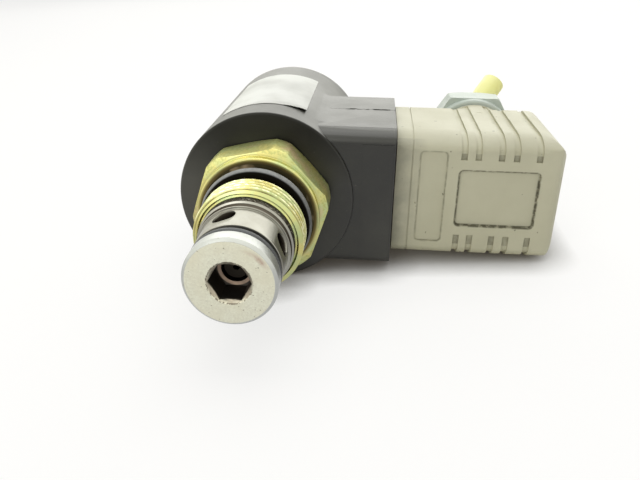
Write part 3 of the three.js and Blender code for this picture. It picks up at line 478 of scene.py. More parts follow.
tree, across, along, up, radius = located(zinc)
# Painted shade and painted reflection of the seal: the washer face behind it is painted dark brown.
washer_face_shade = both(
    band(along, seat_face - 0.45, seat_face + 0.45, 0.1), band(radius, 10, 11.85, 0.3)
)
lay_over(zinc, washer_face_shade, (0.125, 0.095, 0.038), 0.4)
# Painted shade: the undercut between the thread and the washer face is painted dark.
seat = both(
    band(along, thread_back - 0.25, seat_face + 0.23, 0.06), band(radius, 0, 11.15),
    patchy(tree, 900.0, 0.3, 0.55, 0.85),
)
lay_over(zinc, seat, (0.07, 0.058, 0.028), 0.5)
in_thread = band(along, body_front + 0.68, thread_back + 0.15)
# Painted shade: the roots of the thread are painted darker.
root = both(
    in_thread, band(radius, 0, thread_crest - 0.3, 0.15), patchy(tree, 600.0, 0.3, 0.6, 0.6)
)
lay_over(zinc, root, (0.13, 0.11, 0.045), 0.4)
# Painted highlight: the crests of the thread are painted paler.
crest = both(
    in_thread, band(radius, thread_crest - 0.12, 11, 0.08), patchy(tree, 1100.0, 0.45, 0.6)
)
lay_over(zinc, crest, (0.78, 0.75, 0.5))
pinkish = both(patchy(tree, 120.0, 0.56, 0.68), band(along, seat_face + 0.05, hex_back + 0.1))
lay_over(zinc, pinkish, (0.5, 0.38, 0.24))
flats = band(along, -8.3, hex_back + 0.1)
lay_over(zinc, both(flats, patchy(tree, 2200.0, 0.45, 0.6)), (0.36, 0.36, 0.14))
lay_over(zinc, flats, rough=0.5)

collar_steel = turned_steel.copy()
collar_steel.name = "turned steel with a dark collar"
tree, across, along, up, radius = located(collar_steel)
lay_over(collar_steel, band(along, sleeve_back + 0.08, -23.4), (0.085, 0.075, 0.062), 0.5)
streaks = both(band(along, -23.15, -21.4), patchy(tree, 1400.0, 0.4, 0.6, 0.75))
lay_over(collar_steel, streaks, (0.05, 0.044, 0.036), 0.5)
dull(collar_steel, both(band(along, sleeve_back + 0.08, -21.4), band(radius, 8.2, 9)))
worn = both(band(along, -23.0, -21.4), scattered(tree, 2600.0, 0.62))
lay_over(collar_steel, worn, (0.3, 0.28, 0.24))
# Painted shade: the walls inside the cage's ports are painted dark.
port_shade = both(band(radius, 0, sleeve_radius - 0.3, 0.1), band(along, -30, -20))
lay_over(collar_steel, port_shade, (0.06, 0.05, 0.04))

tree, across, along, up, radius = located(oily_steel)
# Painted shade: the poppet's face deep inside the socket is painted dark and loses its sheen.
core = band(radius, 0, 3.4)
lay_over(oily_steel, core, (0.035, 0.03, 0.025), 0.5)
dull(oily_steel, core)

# %% [markdown]
# Grime and painted shade sit round the two sunk panels of the plug, painted shade lies in the ends
# of its grip grooves, and the plug is darker towards its foot. The coil's front face is painted
# paler at the left and darker at the top, as painted light and shade, and its seam is broken into
# dark dashes.
# The seal behind the thread has dust and a painted highlight on its upper crest and painted shade
# on its front.

# %% Wear and painted light and shade on the mouldings and the seals
tree, across, along, up, radius = located(grey_moulding)
near_front = band(along, 0, 5.2)
# Grime and painted shade: a dark line is painted just inside the outline of each sunk panel.
for panel, width, patches, tone in (
    (square_panel, 0.32, (900.0, 0.36, 0.52, 0.25), {"colour": (0.12, 0.115, 0.075), "rough": 0.7}),
    (narrow_panel, 0.2, (700.0, 0.4, 0.6, 0.15), {"colour": (0.34, 0.33, 0.24)}),
):
    around = both(panel_line(across, up, panel, width), near_front, patchy(tree, *patches))
    lay_over(grey_moulding, around, **tone)
# Painted shade: the floors at the front ends of the grip grooves are painted darker.
groove_end_shade = both(
    band(along, 3.85, 4.3), patchy(tree, 500.0, 0.3, 0.6, 0.3),
    band(add_math("ABSOLUTE", up), 7.7, 10.3), band(across, 39, 58),
)
lay_over(grey_moulding, groove_end_shade, (0.27, 0.26, 0.185))
# Darker towards the plug's foot at the tower, in broken patches.
foot = both(add_range(across, 33.5, 28.5), patchy(tree, 260.0, 0.3, 0.65, 0.3), near_front)
lay_over(grey_moulding, foot, (0.34, 0.33, 0.25))
lay_over(grey_moulding, scattered(tree, 900.0, 0.76), (0.25, 0.24, 0.17))

tree, across, along, up, radius = located(charcoal)
lay_over(charcoal, scattered(tree, 2600.0, 0.76), (0.05, 0.048, 0.042))
seam_dashes = both(
    band(along, seam - 0.4, seam + 0.6, 0.1), band(up, tower_top - 0.2, tower_top + 0.8),
    band(across, 15.2, 27), patchy(tree, 800.0, 0.46, 0.52),
)
lay_over(charcoal, seam_dashes, (0.004, 0.004, 0.003), 0.7)
front_face = both(band(along, -0.4, 0.5), band(radius, 0, coil_radius + 0.2))
# Painted light and shade: the coil's front face is painted paler at the left and darker, with less
# sheen, at the top.
lay_over(charcoal, both(front_face, add_range(across, -8.0, -16.0)), (0.045, 0.044, 0.037))
top_shade = both(front_face, add_range(up, 4.0, 15.0, 0.0, 0.5))
lay_over(charcoal, top_shade, (0.008, 0.008, 0.006))
dull(charcoal, add_math("MAXIMUM", seam_dashes, top_shade))

tree, across, along, up, radius = located(rubber)
# Dust and a painted highlight: the seal's outer crest is painted paler, most on its upper side.
dust_and_highlight = both(
    band(along, ring_middle - 0.9, ring_middle + 0.95, 0.15), band(radius, 10.1, 12, 0.1),
    add_range(up, 1.0, 9.0, 0.45, 1.0), patchy(tree, 800.0, 0.25, 0.6, 0.5),
)
lay_over(rubber, dust_and_highlight, (0.27, 0.275, 0.27), 0.55)
# Painted shade: the seal's front, towards the thread, is painted black and loses its sheen.
front_shade = both(band(along, -15, ring_middle - 0.95, 0.1), band(radius, 8, 12))
lay_over(rubber, front_shade, (0.008, 0.007, 0.005), 0.7)
dull(rubber, front_shade)
# These finishes carry wear and dirt, and also painted light and shade.
worn_and_shaded_finishes = (nose_steel, zinc, collar_steel, oily_steel, grey_moulding, charcoal, rubber)
print("wear laid over", [material.name for material in worn_and_shaded_finishes])

# %% [markdown]
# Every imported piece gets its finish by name. Those that are dressed again later are hidden then,
# and the pieces inside keep this one.

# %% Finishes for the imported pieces
packed_finishes = (
    (zinc, "valve_body coil_nut"),
    (collar_steel, "cage"),
    (nose_steel, "nose_insert"),
    (rubber, "nose_seal body_seal front_coil_seal rear_coil_seal gland_seal"),
    (rubber, "plug_gasket plug_screw_seal"),
    (oily_steel, "poppet"),
    (spring_wire, "poppet_spring armature_spring clamp_screw_1 clamp_screw_2 clamp_screw_earth"),
    (turned_steel, "pilot_pin armature_tube plug_screw gland_washer"),
    (dark_steel, "armature pole_piece yoke_shell front_flux_washer rear_flux_washer"),
    (charcoal, "coil_housing"),
    (black_moulding, "bobbin terminal_block"),
    (copper, "winding"),
    (tinned, "blade_1 blade_2 blade_earth contact_1 contact_2 contact_earth"),
    (brass, "tower_nut"),
    (label_film, "type_label"),
    (grey_moulding, "plug_housing"),
    (pale_moulding, "gland_nut"),
    (yellow_jacket, "cable_jacket"),
    (brown_core, "core_1"),
    (blue_core, "core_2"),
    (green_core, "core_earth"),
)
finished = 0
for material, nodes in packed_finishes:
    for node in nodes.split():
        slots = frame["nodes"][node].data.materials
        slots.clear()
        slots.append(material)
        finished += 1
print("packed pieces finished:", finished)

# %% [markdown]
# All the turned pieces start in the same way, as on a lathe: one point is placed at the start of
# the profile, extruded from corner to corner, and the finished outline is spun about the axis.
# Corners that are rounded on the real piece are given a rounding in the profile itself. Bars have
# one section all along, threads and springs are sections screwed along the axis, and holes are cut
# with pegs and blocks of their size.

# %% Helpers for modelling


def deselect():
    active = bpy.context.object
    if active and active.mode != "OBJECT":
        bpy.ops.object.mode_set(mode="OBJECT")
    bpy.ops.object.select_all(action="DESELECT")


def take(piece):
    deselect()
    piece.select_set(True)
    bpy.context.view_layer.objects.active = piece


def edit(piece):
    take(piece)
    bpy.ops.object.mode_set(mode="EDIT")


def close_up(reach=0.002, open_ends=0, outwards=True):
    """Ends the editing of a piece: corners closer than the reach are welded, open ends with up to
    so many sides are filled, and all faces are turned outwards."""
    bpy.ops.mesh.select_all(action="SELECT")
    bpy.ops.mesh.remove_doubles(threshold=reach * MM)
    if open_ends:
        bpy.ops.mesh.fill_holes(sides=open_ends)
    if outwards:
        bpy.ops.mesh.normals_make_consistent(inside=False)
    bpy.ops.object.mode_set(mode="OBJECT")


def select_where(test, kind="FACE"):
    """Selects the faces, edges or corners that pass the test. It gets, in millimetres, the middle
    of a face, both ends of an edge or the place of a corner."""
    bpy.ops.mesh.select_mode(type=kind)
    bpy.ops.mesh.select_all(action="DESELECT")
    mesh = bmesh.from_edit_mesh(bpy.context.object.data)
    parts, places_of = {
        "FACE": (mesh.faces, lambda face: [face.calc_center_median()]),
        "EDGE": (mesh.edges, lambda side: [corner.co for corner in side.verts]),
        "VERT": (mesh.verts, lambda corner: [corner.co]),
    }[kind]
    for part in parts:
        part.select_set(bool(test(*(place / MM for place in places_of(part)))))
    mesh.select_flush_mode()
    bmesh.update_edit_mesh(bpy.context.object.data)


def modify(piece, kind, **settings):
    """Adds a modifier to a piece, sets it and applies it."""
    take(piece)
    bpy.ops.object.modifier_add(type=kind)
    modifier = piece.modifiers[-1]
    for name, setting in settings.items():
        setattr(modifier, name, setting)
    bpy.ops.object.modifier_apply(modifier=modifier.name)


def newest(name):
    """Names the object that was just added."""
    piece = bpy.context.object
    piece.name = name
    return piece


def place_straight(piece, matrix=None):
    """Moves a piece by a matrix, if there is one, and makes that its resting place."""
    if matrix:
        piece.matrix_world = matrix
    take(piece)
    bpy.ops.object.transform_apply(location=True, rotation=True, scale=True)
    return piece


def curved(first, corner, last, steps):
    """Places on a smooth curve from first to last that is drawn towards the corner."""
    shares = [step / steps for step in range(steps + 1)]
    return [first * (1 - s) ** 2 + corner * 2 * s * (1 - s) + last * s**2 for s in shares]


def soften(profile, steps=4):
    """Turns (radius, station, rounding) corners into short arcs."""
    outline = []
    for index, (*corner, rounding) in enumerate((*here, 0)[:3] for here in profile):
        here = Vector(corner)
        if not rounding:
            outline.append(here)
            continue
        before = (Vector(profile[index - 1][:2]) - here).normalized()
        after = (Vector(profile[(index + 1) % len(profile)][:2]) - here).normalized()
        reach = rounding / math.tan(before.angle(after) / 2)
        outline += curved(here + before * reach, here, here + after * reach, steps)
    return outline


def traced(name, outline, closed=True):
    """An outline of (x, y) corners in millimetres, pulled out of a single point. It is closed
    unless it is asked to stay open, and is left selected for editing."""
    deselect()
    bpy.ops.mesh.primitive_plane_add(size=MM)
    piece = newest(name)
    bpy.ops.object.mode_set(mode="EDIT")
    bpy.ops.mesh.select_mode(type="VERT")
    bpy.ops.mesh.select_all(action="SELECT")
    bpy.ops.mesh.merge(type="CENTER")
    bpy.ops.transform.translate(value=(outline[0][0] * MM, outline[0][1] * MM, 0))
    for here, there in zip(outline, outline[1:]):
        step = (Vector(there) - Vector(here)) * MM
        bpy.ops.mesh.extrude_vertices_move(TRANSFORM_OT_translate={"value": (step.x, step.y, 0)})
    if closed:
        mesh = bmesh.from_edit_mesh(piece.data)
        for corner in mesh.verts:
            corner.select_set(len(corner.link_edges) == 1)
        bmesh.update_edit_mesh(piece.data)
        bpy.ops.mesh.edge_face_add()
    bpy.ops.mesh.select_all(action="SELECT")
    return piece


def turned(name, profile, sectors=128):
    """A profile of (radius, station[, rounding]) in millimetres, spun about the valve's axis. It
    starts and ends on the axis or else closes on itself."""
    outline = soften(profile)
    piece = traced(name, outline, closed=outline[0].x > 0)
    bpy.ops.mesh.spin(steps=sectors, angle=2 * math.pi, center=(0, 0, 0), axis=(0, 1, 0))
    close_up()
    return piece


def drawn_out(name, outline, *lengths):
    """A filled outline, drawn out along Z in one or more lengths and left open for editing."""
    piece = traced(name, outline)
    bpy.ops.mesh.edge_face_add()
    for length in lengths:
        bpy.ops.mesh.extrude_region_move(TRANSFORM_OT_translate={"value": (0, 0, length * MM)})
    return piece


def bar_along_x(name, outline, span):
    """A bar with the same (y, z) section all along X."""
    piece = drawn_out(name, outline, span[1] - span[0])
    close_up()
    stand = Matrix(((0, 0, 1), (1, 0, 0), (0, 1, 0))).to_4x4()
    return place_straight(piece, Matrix.Translation((span[0] * MM, 0, 0)) @ stand)


def block(name, x, y, z):
    """A box from ranges in millimetres."""
    deselect()
    middle = [(low + high) / 2 * MM for low, high in (x, y, z)]
    bpy.ops.mesh.primitive_cube_add(size=1, location=middle)
    piece = newest(name)
    piece.scale = [(high - low) * MM for low, high in (x, y, z)]
    return place_straight(piece)


def peg(name, radius, span, way="Y", at=(0, 0), sides=64):
    """A round or many-sided bar along X, Y or Z, through the other two coordinates of its axis."""
    deselect()
    middle = (span[0] + span[1]) / 2
    place, turn = {
        "X": ((middle, *at), (0, math.pi / 2, 0)),
        "Y": ((at[0], middle, at[1]), (math.pi / 2, 0, 0)),
        "Z": ((*at, middle), (0, 0, 0)),
    }[way]
    size = {"vertices": sides, "radius": radius * MM, "depth": (span[1] - span[0]) * MM}
    bpy.ops.mesh.primitive_cylinder_add(location=Vector(place) * MM, rotation=turn, **size)
    return place_straight(newest(name))


def lay_along_x(piece, y, z):
    """Lays a piece that was turned about Y along X, through the given place."""
    lying = Matrix(((0, 1, 0), (-1, 0, 0), (0, 0, 1))).to_4x4()
    return place_straight(piece, Matrix.Translation((0, y * MM, z * MM)) @ lying)


def shift(piece, x, y, z):
    return place_straight(piece, Matrix.Translation(Vector((x, y, z)) * MM))


def turn_about_axis(piece, degrees):
    """Turns a piece from +X towards +Z about the valve's axis."""
    return place_straight(piece, Matrix.Rotation(-math.radians(degrees), 4, "Y"))


def hexagon_bar(name, across_flats, span, corner_degrees):
    """A hexagon bar along the valve's axis, with one corner at the given angle from +X."""
    piece = peg(name, across_flats / 2 / math.cos(math.pi / 6), span, sides=6)
    corner = piece.data.vertices[0].co / MM
    return turn_about_axis(piece, corner_degrees - math.degrees(math.atan2(corner.z, corner.x)))


def combine(piece, tool, operation="DIFFERENCE"):
    """Cuts a tool out of a piece, adds it or keeps only what both fill, and uses the tool up."""
    modify(piece, "BOOLEAN", operation=operation, solver="EXACT", object=tool)
    bpy.data.objects.remove(tool)
    edit(piece)
    close_up(0.001, outwards=False)
    return piece


def cut_away(piece, *tools):
    """Cuts tools that stand clear of each other out of a piece, in one go."""
    deselect()
    for tool in tools:
        tool.select_set(True)
    bpy.context.view_layer.objects.active = tools[0]
    if len(tools) > 1:
        bpy.ops.object.join()
    combine(piece, tools[0])


def bevel_where(piece, test, width, segments, profile=0.5):
    """Bevels the edges whose two ends pass the test."""
    edit(piece)
    select_where(test, "EDGE")
    bpy.ops.mesh.bevel(offset=width * MM, segments=segments, profile=profile)
    bpy.ops.object.mode_set(mode="OBJECT")
    return piece


def round_edges(piece, width, degrees=35, segments=2):
    limit = {"limit_method": "ANGLE", "angle_limit": math.radians(degrees)}
    modify(piece, "BEVEL", width=width * MM, segments=segments, miter_outer="MITER_ARC", **limit)


def screwed(piece, rise, turns, steps, corners):
    """Screws a section along the axis into a helix and closes its two ends."""
    way = {"axis": "Y", "angle": 2 * math.pi, "screw_offset": rise * MM}
    modify(piece, "SCREW", **way, iterations=turns, steps=steps, render_steps=steps)
    edit(piece)
    close_up(open_ends=corners)


def helix_thread(root, crest, pitch, span, run_in, sunk, steps=48):
    """A right-hand thread: one tooth screwed along the axis, trimmed to fade out at both ends."""
    front, back = span
    start, tooth_share, tip_share = front - 0.7 * pitch, 0.92, 0.2
    deselect()
    bpy.ops.mesh.primitive_plane_add(size=1)
    tooth = newest("tooth")
    tooth.location = Vector(((root + crest - sunk) / 2, start, 0)) * MM
    tooth.scale = Vector((crest - root + sunk, pitch * tooth_share, 1)) * MM
    place_straight(tooth)
    edit(tooth)
    select_where(lambda place: place.x > (root + crest) / 2, "VERT")
    bpy.ops.transform.resize(value=(1, tip_share, 1), center_override=(0, start * MM, 0))
    bpy.ops.mesh.select_all(action="SELECT")
    bpy.ops.mesh.delete(type="ONLY_FACE")
    screwed(tooth, pitch, math.ceil((back - front) / pitch) + 1, steps, corners=4)
    fading = [
        (0, front), (root - 2 * sunk, front), (crest, front + run_in),
        (crest, back - run_in / 2), (root, back), (0, back),
    ]
    return combine(tooth, turned("envelope", fading), "INTERSECT")


def settle(piece, material, body, slot, *nodes, degrees=32, flat=False):
    """Rolls a finished piece into its place on the valve, gives it its finish, says what it rides
    on and hides the imported pieces that it stands for. The normals of large flat faces are kept
    flat on request."""
    place_straight(piece, into_place)
    bpy.ops.object.shade_smooth_by_angle(angle=math.radians(degrees))
    if flat:
        modify(piece, "WEIGHTED_NORMAL", keep_sharp=True)
    piece.data.materials.clear()
    piece.data.materials.append(material)
    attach(piece, body)
    if nodes:
        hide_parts(*nodes)
    size = [round(v / MM, 1) for v in piece.dimensions]
    print(piece.name, size, "mm,", len(piece.data.polygons), "faces")


# %% [markdown]
# The body is a hexagon bar, turned down in front for the washer face, an undercut and the thread,
# and plated in yellow zinc. The turned blank keeps only what lies inside the hexagon, which gives
# the curved edges where the flats run out into the chamfer. The thread is a real helix: one
# tooth's section is screwed along the axis, trimmed by the thread's envelope, so that it fades out
# at both ends, and joined to the blank.

# %% Valve body
body_flats, body_bore, pin_bore = 25.4, 6.8, 3.0
hex_front, wall_front, wall_back = -8.4, -9.65, -8.15
blank = turned(
    "threaded_body",
    [
        (body_bore, body_front), (8.9, body_front), (thread_root, body_front + 0.5),
        (thread_root, thread_back - 0.3, 0.1), (9.2, thread_back, 0.1),
        (undercut_radius, thread_back, 0.25), (undercut_radius, seat_face + 0.15, 0.2),
        (11.1, seat_face + 0.15), (11.1, seat_face, 0.03), (11.95, seat_face, 0.1),
        (washer_radius, seat_face + 0.25, 0.08), (washer_radius, hex_front, 0.12),
        (12.6, hex_front), (13.9, hex_front + 0.6, 0.3), (13.9, hex_back - 0.9, 0.3),
        (12.7, hex_back), (body_bore, hex_back), (body_bore, wall_back), (pin_bore, wall_back),
        (pin_bore, wall_front), (body_bore, wall_front),
    ],
    sectors=144,
)
combine(blank, hexagon_bar("bar", body_flats, (-30, 4), 12), "INTERSECT")
thread_span = (body_front, thread_back - 0.1)
thread = helix_thread(thread_root, thread_crest, thread_pitch, thread_span, 0.6, 0.1, steps=96)
combine(blank, thread, "UNION")
settle(blank, zinc, "cartridge", "zinc_plated_steel", "valve_body")

# %% [markdown]
# The cage is the bright sleeve in front of the thread. Its wider collar has a rougher dark band,
# and four round ports lead into the chamber. They are drilled through, and all the edges are
# broken with a small bevel, as deburring leaves them.

# %% Ported cage
chamber_radius, chamber_front, port_radius, first_port = 5.7, -30.23, 2.15, 20
port_middle = (sleeve_back + chamber_front) / 2 + 0.4
cage = turned(
    "ported_cage",
    [
        (chamber_radius, groove_back), (sleeve_radius, groove_back, 0.12),
        (sleeve_radius, sleeve_back, 0.1), (8.45, sleeve_back, 0.12), (8.5, -23.35, 0.05),
        (collar_radius, -23.2, 0.08), (collar_radius, body_front - 0.3, 0.1),
        (6.5, body_front - 0.3), (6.5, seat_face), (chamber_radius, seat_face),
    ],
)
for port in range(4):
    drill = peg("drill", port_radius, (3, 10), "X", (port_middle, 0), sides=48)
    cut_away(cage, turn_about_axis(drill, first_port + 90 * port))
round_edges(cage, 0.1, 40)
settle(cage, collar_steel, "cartridge", "turned_steel", "cage")

# %% [markdown]
# The nose insert closes the cage. It carries the seat, the groove for its seal, and a hexagon
# socket for the key that screws it in. The socket's mouth has a wide countersink.

# %% Nose insert
seat_bore, spigot_radius, key_flats, key_floor = 2.5, 5.4, 6.35, -31.53
insert = turned(
    "keyed_nose",
    [
        (seat_bore, chamber_front), (seat_bore, nose_end), (7.5, nose_end, 0.06),
        (sleeve_radius, nose_end + 0.5, 0.06), (sleeve_radius, groove_front, 0.12),
        (6.25, groove_front, 0.12), (6.25, groove_back - 0.3), (spigot_radius, groove_back - 0.3),
        (spigot_radius, chamber_front),
    ],
)
cone = [(4.9, nose_end - 1), (3.9, nose_end), (3.15, nose_end + 0.6)]
cut_away(insert, turned("countersink", [(0, nose_end - 1), *cone, (0, nose_end + 0.6)]))
cut_away(insert, hexagon_bar("key", key_flats, (nose_end - 1, key_floor), 0))
round_edges(insert, 0.06, 40)
settle(insert, nose_steel, "cartridge", "turned_steel", "nose_insert")

# %% [markdown]
# The seals are rubber rings. A torus gives the round section, and the faint moulding seam round
# its outside is pushed out. Each ring is also squeezed a little into its groove.

# %% Seal rings
seam_from, seam_push = 0.995, 1.003


def seal_ring(name, radius, wire, station, width_share, node):
    deselect()
    bpy.ops.mesh.primitive_torus_add(
        major_radius=radius * MM,
        minor_radius=wire * MM,
        major_segments=120,
        minor_segments=20,
        location=(0, station * MM, 0),
        rotation=(math.pi / 2, 0, 0),
    )
    ring = place_straight(newest(name))
    middle = (0, station * MM, 0)
    outside = radius + wire * seam_from
    edit(ring)
    bpy.ops.mesh.select_all(action="SELECT")
    bpy.ops.transform.resize(value=(1, width_share, 1), center_override=middle)
    select_where(lambda place: math.hypot(place.x, place.z) > outside, "VERT")
    bpy.ops.transform.resize(value=(seam_push, 1, seam_push), center_override=middle)
    settle(ring, rubber, "cartridge", "black_rubber", node, degrees=60)


seal_ring("nose_ring", 7.17, 0.82, (groove_front + groove_back - 0.3) / 2, 1.1, "nose_seal")
seal_ring("body_ring", 9.72, 1.26, ring_middle, 1.05, "body_seal")
seal_ring("coil_ring_front", 7.65, 0.85, 0.95, 1.0, "front_coil_seal")
seal_ring("coil_ring_rear", 7.65, 0.85, coil_length - 0.95, 1.0, "rear_coil_seal")

# %% [markdown]
# The coil is cast in one black moulding: a thick-walled drum and a square tower for the plug. The
# drum is turned and the tower is a bar whose section has round shoulders, hollowed where the drum's
# winding space is. The tower's front carries a slightly raised bare panel, and a fine seam runs
# over it where the two halves of the mould met.

# %% Coil housing
hub_radius, end_wall = 8.9, 2.2
shoulder_run, shoulder_drop, facet_run, facet_drop = 3.3, 2.3, 1.7, 0.6
raised_panel, panel_height = ((20.1, 26.35), (-13, 12.45)), 0.14

inner_end = coil_length - end_wall
housing = turned(
    "coil_shell",
    [
        (hub_radius, 0, 0.35), (coil_radius, 0, 0.5), (coil_radius, coil_length, 0.6),
        (hub_radius, coil_length, 0.35), (hub_radius, inner_end), (winding_radius, inner_end),
        (winding_radius, end_wall), (hub_radius, end_wall),
    ],
    sectors=160,
)
facet_end, facet_top = tower_front + facet_run, tower_top - facet_drop
slope = facet_drop / (tower_front + shoulder_run - facet_end)
first = Vector((facet_end, facet_top))
bend = Vector((tower_front, facet_top - slope * (facet_end - tower_front)))
last = Vector((tower_front, tower_top - shoulder_drop - 0.3))
upper = [(tower_front + shoulder_run, tower_top), *curved(first, bend, last, 6)]
lower = [(y, -z) for y, z in reversed(upper)]
back = [(tower_back, -tower_top), (tower_back, tower_top)]
tower = bar_along_x("tower", upper + lower + back, (0, tower_reach))
panel = block("panel", raised_panel[0], (tower_front - panel_height, 2), raised_panel[1])
combine(tower, panel, "UNION")
cut_away(tower, peg("core", winding_radius + 1, (-1, coil_length), sides=128))
combine(housing, tower, "UNION")

# %% [markdown]
# A hollow fillet joins the drum to the tower on both sides. Each is a bar with a curved section
# that starts behind the front face and is drawn together to a tip there, so that it fades in.

# %% Fillets between drum and tower
fillet, web_front, web_fade, web_root, tip_x, tip_share = 6, 2.4, 4.5, 14, 12.1, 0.03
rise = tower_top + fillet
centre = Vector((math.sqrt((coil_radius + fillet) ** 2 - rise**2), rise))
start = math.atan2(-centre.y, -centre.x)
arc = [start + (-math.pi / 2 - start) * step / 8 for step in range(9)]
corners = [(centre.x + fillet * math.cos(a), centre.y + fillet * math.sin(a)) for a in arc]
web_inner, web_outer = corners[0][0] - 0.4, centre.x + 0.5
corners += [(web_outer, tower_top), (web_outer, web_root), (web_inner, web_root)]
for side in (1, -1):
    outline = [(x, side * z) for x, z in corners]
    web = drawn_out("web", outline, web_fade, tower_back - web_front - web_fade)
    select_where(lambda place: place.z < 0.1, "VERT")
    tip = (tip_x * MM, side * web_root * MM, 0)
    bpy.ops.transform.resize(value=(tip_share, tip_share, 1), center_override=tip)
    close_up()
    stand = Matrix(((1, 0, 0), (0, 0, 1), (0, 1, 0))).to_4x4()
    place_straight(web, Matrix.Translation((0, web_front * MM, 0)) @ stand)
    combine(housing, web, "UNION")

# %% [markdown]
# The tower's end has slots for the three blades and a hole for the plug's screw, and the seam of
# the mould is cut into its upper and lower side. A bevel is then laid on the edges. It comes out
# with next to no width here, probably because the joining of drum, tower and fillets leaves some
# very short edges, and Blender limits a bevel to what the shortest one allows.

# %% Openings and seam of the tower
blade_width, blade_thickness = 6.3, 0.8
blades = [(plug_middle - blade_spacing / 2, 0, True), (plug_middle + blade_spacing / 2, 0, True)]
blades.append((plug_middle, -blade_spacing / 2, False))


def blade_block(name, y, z, upright, span, room):
    """A blade, or the slot for one with some room all round."""
    wide, thin = blade_width / 2 + room, blade_thickness / 2 + room
    along, up = (thin, wide) if upright else (wide, thin)
    return block(name, span, (y - along, y + along), (z - up, z + up))


cut_away(
    housing,
    peg("screw_hole", 2.75, (20, tower_reach + 1), "X", (plug_middle, 0)),
    *(blade_block("slot", *place, (21.6, tower_reach + 1), 0.06) for place in blades),
)
seam_depth, seam_run, seam_width = 0.1, (12, 30), (seam, seam + 0.14)
cut_away(
    housing,
    block("upper_seam", seam_run, seam_width, (tower_top - seam_depth, tower_top + 1)),
    block("lower_seam", seam_run, seam_width, (-tower_top - 1, -tower_top + seam_depth)),
)
round_edges(housing, 0.12, 50)
settle(housing, charcoal, "coil_body", "charcoal_moulding", "coil_housing", flat=True)

# %% [markdown]
# The label is a thin printed film, left bare here. It is one strip spun over part of the drum, and
# its corner near the tower has come loose, so the film round that corner is eased outwards in a few
# widening steps.

# %% Label
label_front, label_back, label_radius, film = 7.8, 38.5, coil_radius + 0.03, 0.07
label_from, label_to, strip_steps, ease = -34, 24.2, 24, 1.0035
shares = [step / strip_steps for step in range(strip_steps + 1)]
edge = [(label_radius, label_front + (label_back - label_front) * share) for share in shares]
strip = traced("paper_label", edge, closed=False)
arc = math.radians(label_to - label_from)
bpy.ops.mesh.spin(steps=52, angle=arc, center=(0, 0, 0), axis=(0, 1, 0))
close_up(outwards=False)
ends = [strip.data.vertices[index].co for index in (0, -1)]
turn_about_axis(strip, min(math.degrees(math.atan2(end.x, end.z)) for end in ends) - label_from)
loose_way = math.radians(label_to)
loose = Vector((math.sin(loose_way), 0, math.cos(loose_way))) * label_radius
loose.y = label_front
edit(strip)
for reach in (5, 4.2, 3.5, 2.8, 2.1, 1.5, 0.9):
    select_where(lambda place: (place - loose).length < reach, "VERT")
    bpy.ops.transform.resize(value=(ease, 1, ease), center_override=(0, 0, 0))
modify(strip, "SOLIDIFY", thickness=film * MM, offset=1)
edit(strip)
close_up()
settle(strip, label_film, "coil_body", "label_film", "type_label")

# %% [markdown]
# The plug's cover is a hollow square moulding. Its block is bevelled to the large corner radius on
# all edges but those at its foot, the round neck of the cable gland is added on the back, and the
# spaces for the terminals, the wires, the gland and the long screw are cut out. Five pairs of grip
# grooves wrap over the upper and lower edges, and two shallow panels are sunk in the front.

# %% Plug cover
corner_radius, crown_run, far_corner_radius, wall = 3, 6.3, 5.2, 1.9
gland_x, gland_z = 46.5, 4.6


def plug_section(inset):
    """The (y, z) outline of the plug, sunk by an inset: rounder in front than at the back."""
    outline = []
    for y, run, start in (
        (plug_back - corner_radius, corner_radius, -90),
        (plug_back - corner_radius, corner_radius, 0),
        (plug_front + crown_run, crown_run, 90),
        (plug_front + crown_run, crown_run, 180),
    ):
        z = (plug_half - corner_radius) * (1 if start in (0, 90) else -1)
        for step in range(9):
            angle = math.radians(start + 90 * step / 8)
            reach = (run - inset) * math.cos(angle), (corner_radius - inset) * math.sin(angle)
            outline.append((y + reach[0], z + reach[1]))
    return outline


cover = bar_along_x("plug_cover", plug_section(0), (plug_foot, plug_end + 1))
spare = 0.003
guards = []
for y, z, along_y, rounding in (
    ((plug_front - spare, plug_back + spare), (-40, 40), False, corner_radius),
    ((-20, 60), (-plug_half - spare, plug_half + spare), True, far_corner_radius),
):

    def at_far_end(one, other):
        long, flat = abs(one.y - other.y) > 50, abs(one.z - other.z) < 1
        return min(one.x, other.x) > plug_end - 1 and long == along_y and flat == along_y

    guard = block("guard", (20, plug_end), y, z)
    guards.append(bevel_where(guard, at_far_end, rounding, 8))
combine(cover, combine(*guards, "INTERSECT"), "INTERSECT")
neck = turned("neck", [(0, 25), (9.2, 25), (9.2, 32.6, 0.25), (0, 32.6)], 96)
combine(cover, shift(neck, gland_x, 0, gland_z), "UNION")
inner_front = plug_front + wall
cut_away(cover, block("cavity", (26, 39.4), (inner_front, plug_back - wall), (-11.85, 11.85)))
cut_away(cover, block("wiring", (36.7, 53.6), (inner_front, 26), (-9.5, 9.5)))
bore = [(0, 24.5), (3.2, 24.5), (3.2, 26.9), (7.4, 26.9), (7.4, 32.3), (7.9, 34), (0, 34)]
cut_away(cover, shift(turned("bore", bore, 96), gland_x, 0, gland_z))
way = [(0, 25), (1.8, 25), (1.8, 57.5), (3.4, 57.5), (3.4, 61.8), (3.9, 64), (0, 64)]
cut_away(cover, lay_along_x(turned("screw_way", way, 64), plug_middle, 0))


